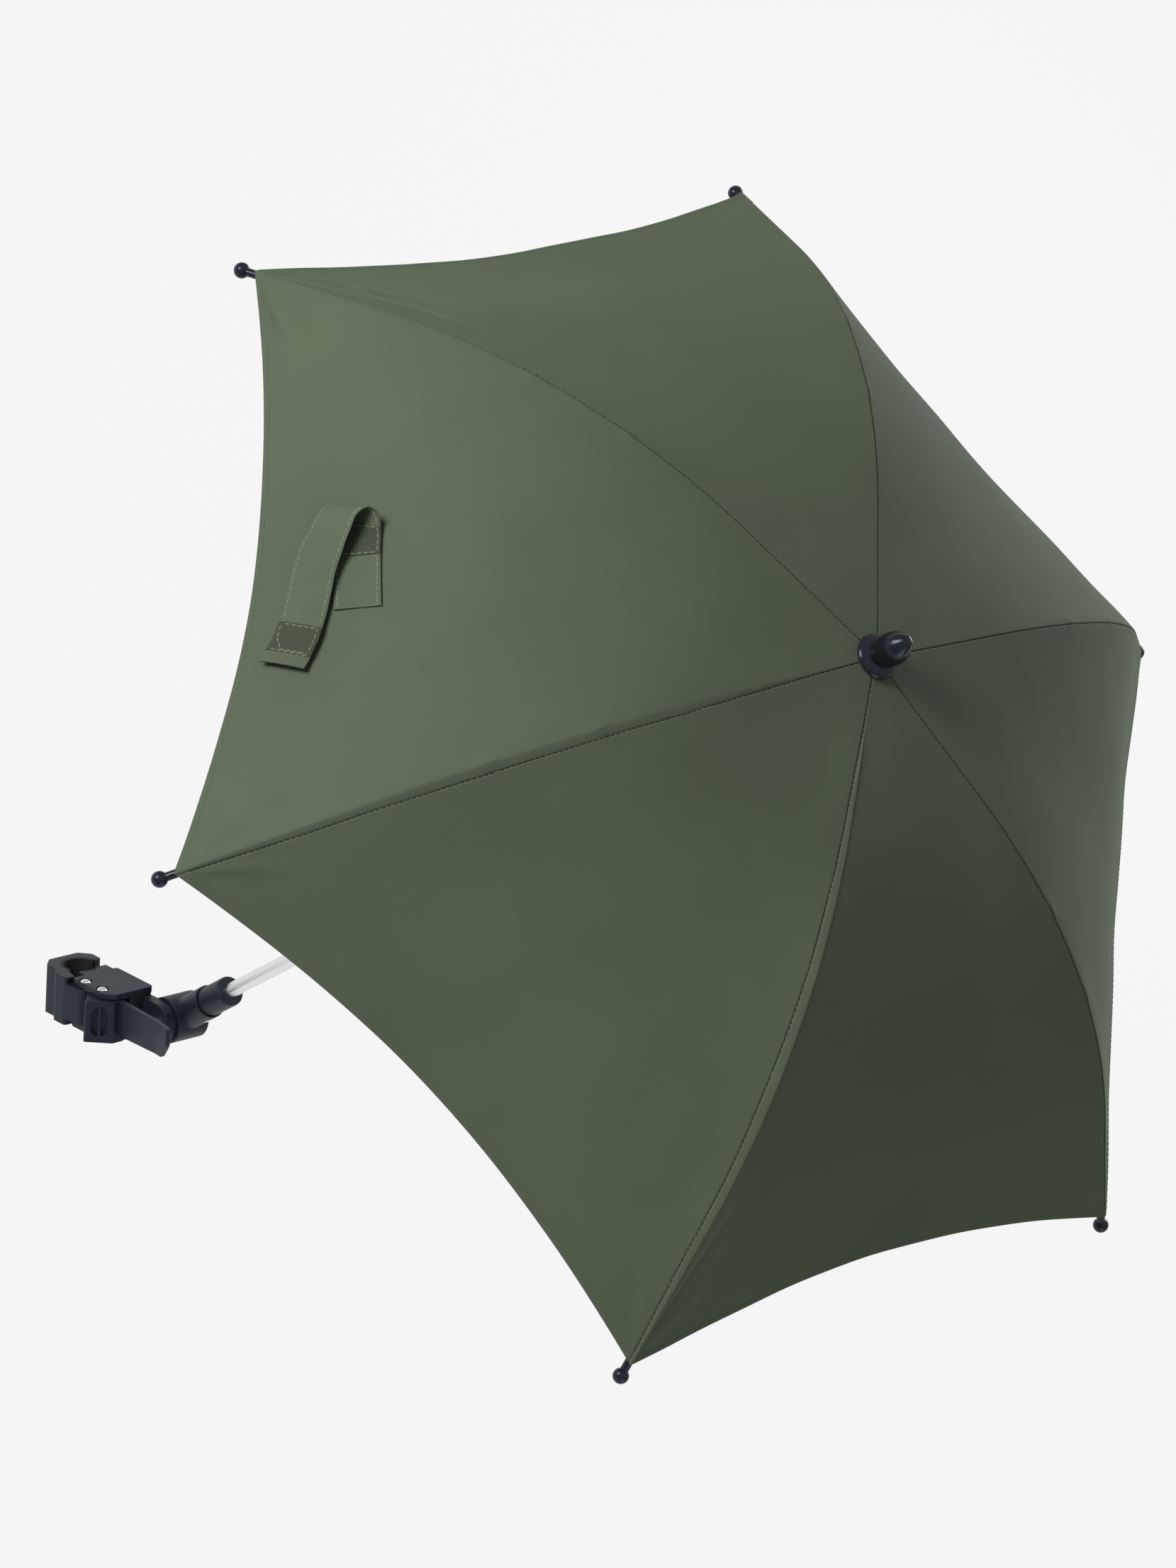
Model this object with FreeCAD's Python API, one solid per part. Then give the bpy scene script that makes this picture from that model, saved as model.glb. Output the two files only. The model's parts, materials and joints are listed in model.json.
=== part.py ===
import FreeCAD, Part
import math
import os

# Pram parasol: clamp, tilting knuckle, flexible neck, shaft and a folding canopy on six ribs.
# Frame: the origin is the middle of the clamp's bore, +Z runs up along the pole and +X along the tilt bolt.
# Lengths are in millimetres and angles in degrees.

V = FreeCAD.Vector

# General clearances
OVERRUN = 4.0            # how far a cutting tool runs past the solid that it cuts
RUN_FIT = 0.06           # radial play of a pin or a shaft that turns in its hole
SEAT_FIT = 0.02          # radial play of pieces that are fixed in each other
SIDE_GAP = 0.3           # play between pieces that move past each other
SOFT_GAP = 0.3           # play between cloth and its neighbours

# Canopy ribs: a straight root run, one bend and a straight outer run
RIB_COUNT = 6
TIP_CIRCLE_R = 350.0     # ball tip centres from the pole axis
RIB_ROOT_SLOPE = 6.65
RIB_RIM_SLOPE = 45.0
RIB_BEND_R = 331.0
RIB_RIM_RUN = 62.0       # level length of the outer straight run
RIB_ROD_R = 1.5
SPLICE_R = 222.0         # pivot between inner and outer rib, from the pole axis
BRACKET_R = 168.0        # stretcher bracket, from the pole axis
BRACKET_DROP = 6.0       # from the rib's middle line to the stretcher's pin
EYE_R = 2.1
EYE_PLATE_T = 1.6
EYE_ROOT_W = 3.4
PIN_R = 0.7
FORK_CHEEK_T = 1.0
FORK_CHEEK_R = 1.3       # half height of a fork, lower than the eye so that it clears the cloth
FORK_LENGTH = 6.0
STRETCHER_ROD_R = 1.2

# Crown and runner
CROWN_PIVOT_R = 9.0
CORE_R = 6.5
CROWN_FLANGE_R = 12.0
CROWN_FLANGE_DROP = 4.0
CROWN_FLANGE_RISE = 1.4
CROWN_LENGTH = 16.0
SLOT_PIN_SEAT = 1.0      # how far a pin reaches into each wall of its slot
RUNNER_TOP = 8.0
RUNNER_FLANGE_RISE = 2.4
RUNNER_FLANGE_DROP = 3.6
RUNNER_GRIP_R = 9.0
RUNNER_LENGTH = 38.0
RUNNER_GRIP_LENGTH = 24.0

# Cloth
FABRIC_T = 0.8
CORNER_INSET = 3.4       # corner of a panel inside the circle of ball tips
SCALLOP_DEPTH = 13.1     # how far the rim curves in between two tips
CROWN_HOLE_R = 8.0
GORE_SAMPLES = 9
STRAP_WIDTH = 25.0
STRAP_T = 1.0
STRAP_LIFT = 0.6
STRAP_PLY_GAP = 0.5
STRAP_FOLD_LENGTH = 2.0
STRAP_INSET = 40.1       # strap's reference line inside the line between two corners
STRAP_BASE_LENGTH = 53.0
STRAP_FREE_LENGTH = 86.5
STRAP_FOLD_OFFSET = 28.0
STRAP_BASE_SIDE_OFFSET = 16.0
STRAP_FOLD_SIDE_OFFSET = 8.0
STRAP_FREE_SIDE_OFFSET = 19.0
STRAP_GORE = 2           # the panel that carries the strap

# Ball tips and finial
TIP_BALL_R = 4.3
TIP_STEM_R = 2.3
TIP_STEM_LENGTH = 14.5
TIP_ROD_INSET = 1.5       # from the ball's middle to the rib's end
FINIAL_BASE_R = 12.4
FINIAL_BASE_T = 4.6
FINIAL_EDGE_T = 1.4
FINIAL_WAIST_R = 7.4
FINIAL_BODY_R = 8.8
FINIAL_BELLY_UP = 13.0   # where the finial is widest, over its foot
FINIAL_HEIGHT = 27.5
FINIAL_TIP_R = 2.2       # flat end of the nose
FINIAL_SAUCER_SHARES = (0.62, 0.68)
FINIAL_SOCKET = 10.0

# Shaft, ferrule and catch
SHAFT_R = 5.0
SHAFT_WALL = 0.8
FERRULE_R = 7.0
FERRULE_LENGTH = 40.0
FERRULE_NECK_SEAT = 12.0
FERRULE_WEB = 3.0
FERRULE_CHAMFER = 0.6
CATCH_T = 1.2
CATCH_HEIGHT = 10.0
CATCH_PROUD = 0.9
CATCH_ROOT = 0.6
CATCH_AZIMUTH = 30.0

# Flexible neck
NECK_REACH = 448.2       # socket mouth to the plane of the ball tips
NECK_R = 4.5
NECK_ROOT_R = 4.0
NECK_BORE_R = 2.0
NECK_LAND = 0.3
NECK_RIB_LENGTH = 1.27
NECK_LINKS = 5
RIBS_PER_LINK = 28
NECK_LINK_TURN = 20.0    # most that one link turns on the next
NECK_SEAT = 18.0         # plain end inside the plug
RIB_RISE_SHARE = 0.2
RIB_TOP_SHARE = 0.7
RIB_FALL_SHARE = 0.9

# Knuckle and plug, along the pole from the tilt bolt
HUB_TO_MOUTH = 56.0
HUB_R = 14.0
HUB_W = 22.0
SLEEVE_R = 10.0
SLEEVE_TOP = 33.0
PLUG_GROOVE = 1.4
PLUG_R = 9.0
PLUG_NOSE_R = 8.2
PLUG_NOSE = 1.4
SPIGOT_R = 7.2
SPIGOT_LENGTH = 15.0
SET_SCREW_R = 1.5
SET_SCREW_HEAD_R = 2.6
SET_SCREW_HEAD_T = 1.2
SET_SCREW_UP = 24.0
BOLT_R = 2.5
BOLT_HEAD_R = 4.6
BOLT_HEAD_T = 3.0
NUT_R = 4.6
NUT_T = 4.0

# Clamp, seen along the pram tube: x along the tilt bolt, y from the blade's end towards the tube
TUBE_R = 10.0
LEAN = 55.0              # tube axis from the pole axis
CLAMP_H = 30.0
PLATE_T = 3.7
HOUSING_LEFT = -17.0
HOUSING_RIGHT = 16.0
HOUSING_BACK = -15.0
HOUSING_FRONT = -50.5
HOUSING_CORNER_R = 9.0
HOUSING_EDGE_R = 2.0
HOUSING_WALL = 3.0
BACK_WALL_LEFT = -5.5
FRONT_WALL_LEFT = -1.0
SEAT_LEFT = -8.0
SEAT_RIGHT = 13.0
SEAT_TOP = -8.0
PAD_T = 2.0
HOUSING_PAD_FROM = -127.0
HOUSING_PAD_TO = -39.0
JAW_PAD_FROM = 9.0
JAW_PAD_TO = 198.0
JAW_T = 4.8
JAW_END_Y = 1.2
JAW_SHOULDER = 6.2
JAW_SHOULDER_R = 3.0
JAW_PIVOT_X = -13.0
JAW_PIVOT_Y = -22.5
JAW_EYE_R = 6.0
JAW_LEFT = -20.5
JAW_BLOCK_LOW = -13.5
JAW_BLOCK_HIGH = -3.0
JAW_ROOT_Y = 2.0
LEVER_PIVOT_X = -12.2
LEVER_PIVOT_Y = -37.7
CAM_R = 8.85
LEVER_HEAD_LEFT = -26.0
LEVER_HEAD_TOP = -38.4
LEVER_HEAD_Y = -40.8
LEVER_HEAD_FRONT = -51.5
LEVER_HEAD_NOSE_X = -13.8
LEVER_HEAD_RIGHT = -6.0
LEVER_HEAD_ROUND = 1.4
LEVER_SKIRT_R = 10.2      # the head's skirt under the lower plate stays outside this
LEVER_SKIRT_GAP = 0.8
BLADE_T = 3.0
BLADE_END_X = -12.2
BLADE_END_Y = -102.5
BLADE_TAPER = 3.0
BLADE_END_ROUND = 1.1
BLADE_TIP_LENGTH = 13.0
BLADE_TIP_BEND = 1.6
BLADE_CORNER_LENGTH = 6.5
BLADE_CORNER_H = 9.0
RECESS_W = 9.8
RECESS_H = 18.6
RECESS_DEPTH = 3.0
RECESS_RIB_W = 2.0
RECESS_RIB_DROP = 0.7     # rib's top under the head's face
RECESS_LOW = 1.8          # pocket's middle under the clamp's middle
RIVET_R = 2.4
RIVET_HEAD_R = 3.2
RIVET_HEAD_H = 1.6
RIVET_SINK = 0.8          # rivet heads lie in shallow round pockets
RIVET_RING = 0.8
HUB_Y = -62.5
HUB_X = 28.0
HUB_DROP = 3.0            # tilt bolt under the clamp's middle
EAR_LEFT = 9.0
EAR_RIGHT = 16.0
EAR_R = 12.0

# Derived places
RIB_STEP = 360.0 / RIB_COUNT
HALF_STEP = RIB_STEP / 2
COS_HALF = math.cos(math.radians(HALF_STEP))
SIN_HALF = math.sin(math.radians(HALF_STEP))
TAN_HALF = SIN_HALF / COS_HALF
ROOT_A = math.radians(RIB_ROOT_SLOPE)
RIM_A = math.radians(RIB_RIM_SLOPE)
CORNER_R = TIP_CIRCLE_R - CORNER_INSET
STRAP_PLACE_R = CORNER_R * COS_HALF - STRAP_INSET
RIB_SINK = FABRIC_T + SOFT_GAP + EYE_R
BEND_END_R = TIP_CIRCLE_R - RIB_RIM_RUN
BEND_X = BEND_END_R - RIB_BEND_R * math.sin(RIM_A)
BEND_Z = RIB_RIM_RUN * math.tan(RIM_A) - RIB_BEND_R * math.cos(RIM_A)
FORK_INSIDE = EYE_PLATE_T / 2 + SIDE_GAP
FORK_OUTSIDE = FORK_INSIDE + FORK_CHEEK_T
BRIDGE_START = EYE_R + 2 * SIDE_GAP
HOLE_R = PIN_R + RUN_FIT
SLOT_W = EYE_ROOT_W + 2 * SIDE_GAP
LEAN_A = math.radians(LEAN)
HALF_H = CLAMP_H / 2
INNER_H = CLAMP_H - 2 * PLATE_T - 2 * SIDE_GAP
RIVET_PLACES = ((JAW_PIVOT_X, JAW_PIVOT_Y), (LEVER_PIVOT_X, LEVER_PIVOT_Y))
SEAT_R = TUBE_R + PAD_T
HUB_AT = V(HUB_X, HUB_Y * math.cos(LEAN_A) - HUB_DROP * math.sin(LEAN_A),
           -HUB_Y * math.sin(LEAN_A) - HUB_DROP * math.cos(LEAN_A))
MOUTH_Z = HUB_AT.z + HUB_TO_MOUTH
TIP_PLANE_Z = MOUTH_Z + NECK_REACH
POLE_AT = V(HUB_AT.x, HUB_AT.y, 0)
CANOPY_AT = V(HUB_AT.x, HUB_AT.y, TIP_PLANE_Z)
X_AXIS = V(1, 0, 0)
Y_AXIS = V(0, 1, 0)
Z_AXIS = V(0, 0, 1)


def rib_height(radius, lift):
    """Height over the tip plane of the rib's line, moved out by lift along its normal."""
    bend = RIB_BEND_R + lift
    root_x = BEND_X + bend * math.sin(ROOT_A)
    rim_x = BEND_X + bend * math.sin(RIM_A)
    if radius < root_x:
        return BEND_Z + bend * math.cos(ROOT_A) + (root_x - radius) * math.tan(ROOT_A)
    if radius > rim_x:
        return BEND_Z + bend * math.cos(RIM_A) - (radius - rim_x) * math.tan(RIM_A)
    return BEND_Z + math.sqrt(bend ** 2 - (radius - BEND_X) ** 2)


def rib_slope(radius):
    """Slope of the rib's middle line below the horizon, in radians."""
    share = (radius - BEND_X) / RIB_BEND_R
    return min(max(math.asin(min(share, 1)), ROOT_A), RIM_A)


def rib_point(radius):
    return V(radius, 0, rib_height(radius, 0))


def rib_direction(radius):
    slope = rib_slope(radius)
    return V(math.cos(slope), 0, -math.sin(slope))


CROWN_PIVOT = rib_point(CROWN_PIVOT_R)
SPLICE = rib_point(SPLICE_R)
BRACKET_SEAT = rib_point(BRACKET_R)
BRACKET_SLOPE = rib_slope(BRACKET_R)
BRACKET_DOWN = V(-math.sin(BRACKET_SLOPE), 0, -math.cos(BRACKET_SLOPE))
BRACKET_PIN = BRACKET_SEAT + BRACKET_DOWN * BRACKET_DROP
# Rib and stretcher are equally long between pins, so the runner's pins stay under the crown's
RUNNER_PIVOT = V(CROWN_PIVOT_R, 0, 2 * BRACKET_PIN.z - CROWN_PIVOT.z)
RUNNER_BOTTOM = RUNNER_PIVOT.z + RUNNER_TOP - RUNNER_LENGTH
FINIAL_BASE_Z = rib_height(CROWN_HOLE_R, RIB_SINK) + SOFT_GAP
LINK_FACE = NECK_BORE_R + NECK_LAND
LINK_RELIEF = math.tan(math.radians(NECK_LINK_TURN / 2))
LINK_GAP = 2 * (LINK_FACE * LINK_RELIEF + RUN_FIT)
LINK_SHOULDER = NECK_ROOT_R * LINK_RELIEF + RUN_FIT
LINK_RIBBED = RIBS_PER_LINK * NECK_RIB_LENGTH
LINK_STEP = LINK_RIBBED + 2 * LINK_SHOULDER
NECK_LENGTH = NECK_LINKS * LINK_STEP
FERRULE_BOTTOM = NECK_LENGTH - NECK_REACH
SHAFT_BOTTOM = FERRULE_BOTTOM + FERRULE_NECK_SEAT + FERRULE_WEB
SHAFT_TOP = FINIAL_BASE_Z + FINIAL_SOCKET


def cylinder(radius, length, start, axis):
    return Part.makeCylinder(radius, length, start, axis)


def pin_across(radius, width, middle):
    """A cylinder along Y, centred on a point of the rib's plane."""
    return cylinder(radius, width, middle - Y_AXIS * (width / 2), Y_AXIS)


def fuse(shapes):
    whole = shapes[0].multiFuse(shapes[1:])
    return whole.removeSplitter()


def rounded_face(corners):
    """A flat face from corners (x, y, radius), each rounded by an arc that touches both sides."""
    edges = []
    points = []
    count = len(corners)
    for i in range(count):
        x, y, radius = corners[i]
        here = V(x, y, 0)
        back = V(corners[i - 1][0], corners[i - 1][1], 0) - here
        ahead = V(corners[(i + 1) % count][0], corners[(i + 1) % count][1], 0) - here
        back.normalize()
        ahead.normalize()
        half = back.getAngle(ahead) / 2
        if radius <= 0:
            points.append((here, here, here))
            continue
        cut = radius / math.tan(half)
        inward = back + ahead
        inward.normalize()
        middle = here + inward * (radius / math.sin(half) - radius)
        points.append((here + back * cut, middle, here + ahead * cut))
    for i in range(count):
        first, middle, last = points[i]
        if first != last:
            edges.append(Part.Arc(first, middle, last).toShape())
        edges.append(Part.makeLine(last, points[(i + 1) % count][0]))
    return Part.Face(Part.Wire(edges))


def prism(corners, low, high):
    face = rounded_face(corners)
    face.translate(V(0, 0, low))
    return face.extrude(V(0, 0, high - low))


def box(low, high):
    size = high - low
    return Part.makeBox(size.x, size.y, size.z, low)


def ring_sector(inner, outer, start, stop, low, high):
    """Part of a ring about Z between two angles."""
    def at(radius, angle):
        turn = math.radians(angle)
        return V(radius * math.cos(turn), radius * math.sin(turn), low)

    def arc(radius, first, last):
        return Part.Arc(at(radius, first), at(radius, (first + last) / 2), at(radius, last)).toShape()

    middle = (start + stop) / 2
    edges = [
        arc(inner, start, middle),
        arc(inner, middle, stop),
        Part.makeLine(at(inner, stop), at(outer, stop)),
        arc(outer, stop, middle),
        arc(outer, middle, start),
        Part.makeLine(at(outer, start), at(inner, start)),
    ]
    return Part.Face(Part.Wire(edges)).extrude(V(0, 0, high - low))


def bar(start, end, half_height, near, far):
    """A flat bar in the rib's plane from start to end, between two distances along Y."""
    along = end - start
    along.normalize()
    across = Y_AXIS.cross(along) * half_height
    corners = [start + across, end + across, end - across, start - across]
    points = [corner + Y_AXIS * near for corner in corners]
    face = Part.Face(Part.makePolygon(points + [points[0]]))
    return face.extrude(Y_AXIS * (far - near))


def fork(pivot, along):
    """Two cheeks with their pin and the bridge behind them, open around another piece's eye plate."""
    tail = pivot + along * FORK_LENGTH
    pieces = []
    for near, far in ((FORK_INSIDE, FORK_OUTSIDE), (-FORK_OUTSIDE, -FORK_INSIDE)):
        pieces.append(bar(pivot, tail, FORK_CHEEK_R, near, far))
        pieces.append(cylinder(FORK_CHEEK_R, far - near, pivot + Y_AXIS * near, Y_AXIS))
    pieces.append(bar(pivot + along * BRIDGE_START, tail, FORK_CHEEK_R, -FORK_OUTSIDE, FORK_OUTSIDE))
    pieces.append(pin_across(PIN_R, 2 * FORK_OUTSIDE, pivot))
    return pieces


def eye_plate(start, pivot):
    """A thin bar that ends in a round eye; the hole is cut by its owner."""
    plate = bar(start, pivot, EYE_R, -EYE_PLATE_T / 2, EYE_PLATE_T / 2)
    return [plate, pin_across(EYE_R, EYE_PLATE_T, pivot)]


def rod_along(points, radius):
    """A round rod along straight runs and arcs; points is a list of edges in order."""
    wire = Part.Wire(points)
    first = points[0]
    start = first.valueAt(first.FirstParameter)
    tangent = first.tangentAt(first.FirstParameter)
    profile = Part.Wire(Part.makeCircle(radius, start, tangent))
    return wire.makePipeShell([profile], True, False)


def rib_arc(start_r, end_r):
    middle_r = (start_r + end_r) / 2
    return Part.Arc(rib_point(start_r), rib_point(middle_r), rib_point(end_r)).toShape()


def in_clamp(shape):
    shape.rotate(V(0, 0, 0), X_AXIS, -LEAN)
    return shape


def on_hub(shape):
    shape.translate(HUB_AT)
    return shape


def on_canopy(shape, azimuth):
    turned = shape.copy()
    turned.rotate(V(0, 0, 0), Z_AXIS, azimuth)
    turned.translate(CANOPY_AT)
    return turned


def save(name, shape):
    shape.exportStep("parts/" + name + ".step")


# Clamp

def plate_outline(gap):
    """Outline of the clamp's two plates, moved out by a gap."""
    return [
        (HOUSING_LEFT - gap, HOUSING_BACK + gap, HOUSING_EDGE_R + gap),
        (HOUSING_LEFT - gap, HOUSING_FRONT - gap, HOUSING_CORNER_R + gap),
        (HOUSING_RIGHT + gap, HOUSING_FRONT - gap, HOUSING_EDGE_R + gap),
        (HOUSING_RIGHT + gap, HOUSING_BACK + gap, HOUSING_EDGE_R + gap),
    ]


def clamp_housing():
    outline = plate_outline(0)
    pieces = [
        prism(outline, HALF_H - PLATE_T, HALF_H),
        prism(outline, -HALF_H, PLATE_T - HALF_H),
        box(V(HOUSING_RIGHT - HOUSING_WALL, HOUSING_FRONT + HOUSING_EDGE_R, -HALF_H),
            V(HOUSING_RIGHT, HOUSING_BACK - HOUSING_EDGE_R, HALF_H)),
        box(V(BACK_WALL_LEFT, HOUSING_BACK - HOUSING_WALL, -HALF_H),
            V(HOUSING_RIGHT - HOUSING_EDGE_R, HOUSING_BACK, HALF_H)),
        box(V(FRONT_WALL_LEFT, HOUSING_FRONT, -HALF_H),
            V(HOUSING_RIGHT - HOUSING_EDGE_R, HOUSING_FRONT + HOUSING_WALL, HALF_H)),
        box(V(SEAT_LEFT, HOUSING_BACK - HOUSING_WALL, -HALF_H), V(SEAT_RIGHT, SEAT_TOP, HALF_H)),
        cylinder(EAR_R, EAR_RIGHT - EAR_LEFT, V(EAR_LEFT, HUB_Y, -HUB_DROP), X_AXIS),
        box(V(EAR_LEFT, HUB_Y, -EAR_R - HUB_DROP),
            V(EAR_RIGHT, HOUSING_FRONT + HOUSING_WALL, EAR_R - HUB_DROP)),
    ]
    cuts = [
        cylinder(SEAT_R, CLAMP_H + 2 * OVERRUN, V(0, 0, -HALF_H - OVERRUN), Z_AXIS),
        cylinder(BOLT_R + SEAT_FIT, HUB_X, V(EAR_LEFT - OVERRUN, HUB_Y, -HUB_DROP), X_AXIS),
    ]
    for x, y in RIVET_PLACES:
        cuts.append(cylinder(RIVET_R + SEAT_FIT, CLAMP_H + 2 * OVERRUN, V(x, y, -HALF_H - OVERRUN), Z_AXIS))
        for low in (HALF_H - RIVET_SINK, -HALF_H - OVERRUN):
            cuts.append(cylinder(RIVET_HEAD_R + RIVET_RING, RIVET_SINK + OVERRUN, V(x, y, low), Z_AXIS))
    return in_clamp(fuse(pieces).cut(cuts))


def clamp_rivets():
    rivets = []
    seat = HALF_H - RIVET_SINK
    for x, y in RIVET_PLACES:
        ball_r = (RIVET_HEAD_R ** 2 + RIVET_HEAD_H ** 2) / (2 * RIVET_HEAD_H)
        top = Part.makeSphere(ball_r, V(x, y, seat + RIVET_HEAD_H - ball_r))
        low = Part.makeSphere(ball_r, V(x, y, ball_r - seat - RIVET_HEAD_H))
        above = cylinder(RIVET_HEAD_R + OVERRUN, ball_r, V(x, y, seat), Z_AXIS)
        below = cylinder(RIVET_HEAD_R + OVERRUN, ball_r, V(x, y, -seat - ball_r), Z_AXIS)
        shank = cylinder(RIVET_R, 2 * seat, V(x, y, -seat), Z_AXIS)
        rivets.append(fuse([shank, top.common(above), low.common(below)]))
    return in_clamp(Part.makeCompound(rivets))


def housing_pad():
    pad = ring_sector(TUBE_R, SEAT_R - SEAT_FIT, HOUSING_PAD_FROM, HOUSING_PAD_TO, -HALF_H, HALF_H)
    return in_clamp(pad)


def clamp_jaw():
    outer = SEAT_R + JAW_T
    shoulder = outer - JAW_SHOULDER
    hook = prism([
        (0, JAW_BLOCK_HIGH, 0),
        (0, JAW_END_Y, 0),
        (outer, JAW_END_Y, HOUSING_EDGE_R),
        (outer, shoulder, JAW_SHOULDER_R),
        (shoulder, outer, JAW_SHOULDER_R),
        (-shoulder, outer, JAW_SHOULDER_R),
        (-outer, shoulder, JAW_SHOULDER_R),
        (-outer, JAW_BLOCK_HIGH, 0),
    ], -HALF_H, HALF_H)
    block = prism([
        (JAW_LEFT, JAW_BLOCK_LOW, HOUSING_EDGE_R),
        (-SEAT_R - JAW_T / 2, JAW_BLOCK_LOW, 0),
        (-SEAT_R, JAW_BLOCK_HIGH, 0),
        (-SEAT_R, JAW_ROOT_Y, 0),
        (-outer, JAW_ROOT_Y, 0),
        (JAW_LEFT, JAW_BLOCK_HIGH, HOUSING_EDGE_R),
    ], -HALF_H, HALF_H)
    arm = prism([
        (JAW_PIVOT_X - JAW_EYE_R, JAW_PIVOT_Y, 0),
        (JAW_PIVOT_X, JAW_PIVOT_Y, 0),
        (-SEAT_R, JAW_BLOCK_HIGH, 0),
        (-outer, JAW_BLOCK_HIGH, 0),
        (JAW_LEFT, JAW_BLOCK_LOW, 0),
    ], -INNER_H / 2, INNER_H / 2)
    eye = cylinder(JAW_EYE_R, INNER_H, V(JAW_PIVOT_X, JAW_PIVOT_Y, -INNER_H / 2), Z_AXIS)
    hole = cylinder(RIVET_R + RUN_FIT, CLAMP_H, V(JAW_PIVOT_X, JAW_PIVOT_Y, -HALF_H), Z_AXIS)
    bore = cylinder(SEAT_R, CLAMP_H + 2 * OVERRUN, V(0, 0, -HALF_H - OVERRUN), Z_AXIS)
    return in_clamp(fuse([hook, block, arm, eye]).cut([hole, bore]))


def jaw_pad():
    pad = ring_sector(TUBE_R, SEAT_R - SEAT_FIT, JAW_PAD_FROM, JAW_PAD_TO, -HALF_H, HALF_H)
    return in_clamp(pad)


def clamp_lever():
    half = INNER_H / 2
    cam = cylinder(CAM_R, INNER_H, V(LEVER_PIVOT_X, LEVER_PIVOT_Y, -half), Z_AXIS)
    bend_y = BLADE_END_Y + BLADE_TIP_LENGTH
    bend_x = LEVER_HEAD_RIGHT - BLADE_T + (BLADE_END_X - LEVER_HEAD_RIGHT + BLADE_T) * (
        (LEVER_HEAD_FRONT + BLADE_T - bend_y) / (LEVER_HEAD_FRONT + BLADE_T - BLADE_END_Y))
    tip_x = BLADE_END_X - BLADE_TIP_BEND
    outline = [
        (LEVER_PIVOT_X, LEVER_HEAD_TOP, 0),
        (LEVER_HEAD_LEFT, LEVER_HEAD_TOP, LEVER_HEAD_ROUND),
        (LEVER_HEAD_LEFT, LEVER_HEAD_Y, LEVER_HEAD_ROUND),
        (LEVER_HEAD_NOSE_X, LEVER_HEAD_FRONT, HOUSING_EDGE_R),
        (LEVER_HEAD_RIGHT, LEVER_HEAD_FRONT, 0),
        (LEVER_HEAD_RIGHT, LEVER_HEAD_TOP, 0),
    ]
    head = prism(outline, -half, half)
    # Outside the plates the head reaches down past the lower one
    skirt = prism(outline, -HALF_H, OVERRUN - half)
    swept = cylinder(LEVER_SKIRT_R, CLAMP_H, V(LEVER_PIVOT_X, LEVER_PIVOT_Y, -CLAMP_H - half), Z_AXIS)
    skirt = skirt.cut([swept, prism(plate_outline(LEVER_SKIRT_GAP), -CLAMP_H - half, -half)])
    blade = prism([
        (LEVER_HEAD_RIGHT, LEVER_HEAD_FRONT + BLADE_T, 0),
        (LEVER_HEAD_RIGHT - BLADE_T, LEVER_HEAD_FRONT + BLADE_T, 0),
        (bend_x, bend_y, 0),
        (tip_x, BLADE_END_Y, BLADE_END_ROUND),
        (tip_x + BLADE_T, BLADE_END_Y, BLADE_END_ROUND),
        (bend_x + BLADE_T, bend_y, 0),
    ], -half, half)
    # Lower edge of the blade: it rises towards the end, and the end's corner is cut off
    left = tip_x - OVERRUN
    corner_y = BLADE_END_Y + BLADE_CORNER_LENGTH
    corner_z = BLADE_TAPER * (LEVER_HEAD_FRONT - corner_y) / (LEVER_HEAD_FRONT - BLADE_END_Y) - half
    end_z = BLADE_TAPER + BLADE_CORNER_H - half
    taper = Part.Face(Part.makePolygon([
        V(left, LEVER_HEAD_FRONT, -half),
        V(left, corner_y, corner_z),
        V(left, BLADE_END_Y, end_z),
        V(left, BLADE_END_Y - OVERRUN, end_z),
        V(left, BLADE_END_Y - OVERRUN, -half - OVERRUN),
        V(left, LEVER_HEAD_FRONT, -half - OVERRUN),
        V(left, LEVER_HEAD_FRONT, -half),
    ])).extrude(X_AXIS * (LEVER_HEAD_RIGHT - left + OVERRUN))
    hole = cylinder(RIVET_R + RUN_FIT, CLAMP_H, V(LEVER_PIVOT_X, LEVER_PIVOT_Y, -HALF_H), Z_AXIS)
    lever = fuse([cam, head, skirt, blade]).cut([hole, taper, lever_recess()])
    return in_clamp(lever)


def lever_recess():
    """Oval pocket on the head's slanted face, with an upright rib left standing in it."""
    first = V(LEVER_HEAD_LEFT, LEVER_HEAD_Y, 0)
    last = V(LEVER_HEAD_NOSE_X, LEVER_HEAD_FRONT, 0)
    side = last - first
    side.normalize()
    outward = side.cross(Z_AXIS)
    outward.normalize()
    if outward.y > 0:
        outward = outward * -1
    middle = (first + last) / 2 - Z_AXIS * RECESS_LOW
    straight = RECESS_H / 2 - RECESS_W / 2
    deep = middle - outward * RECESS_DEPTH
    reach = outward * (RECESS_DEPTH + OVERRUN)
    pieces = []
    for level in (-straight, straight):
        pieces.append(cylinder(RECESS_W / 2, reach.Length, deep + Z_AXIS * level, outward))
    low = deep - side * (RECESS_W / 2) - Z_AXIS * straight
    corners = [low, low + side * RECESS_W]
    corners.append(corners[1] + Z_AXIS * (2 * straight))
    corners.append(low + Z_AXIS * (2 * straight))
    pieces.append(Part.Face(Part.makePolygon(corners + [corners[0]])).extrude(reach))
    rib_low = deep - side * (RECESS_RIB_W / 2) - Z_AXIS * RECESS_H
    rib = [rib_low, rib_low + side * RECESS_RIB_W]
    rib.append(rib[1] + Z_AXIS * (2 * RECESS_H))
    rib.append(rib_low + Z_AXIS * (2 * RECESS_H))
    standing = Part.Face(Part.makePolygon(rib + [rib[0]])).extrude(outward * (RECESS_DEPTH - RECESS_RIB_DROP))
    return fuse(pieces).cut(standing)


# Knuckle, plug and neck

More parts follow.
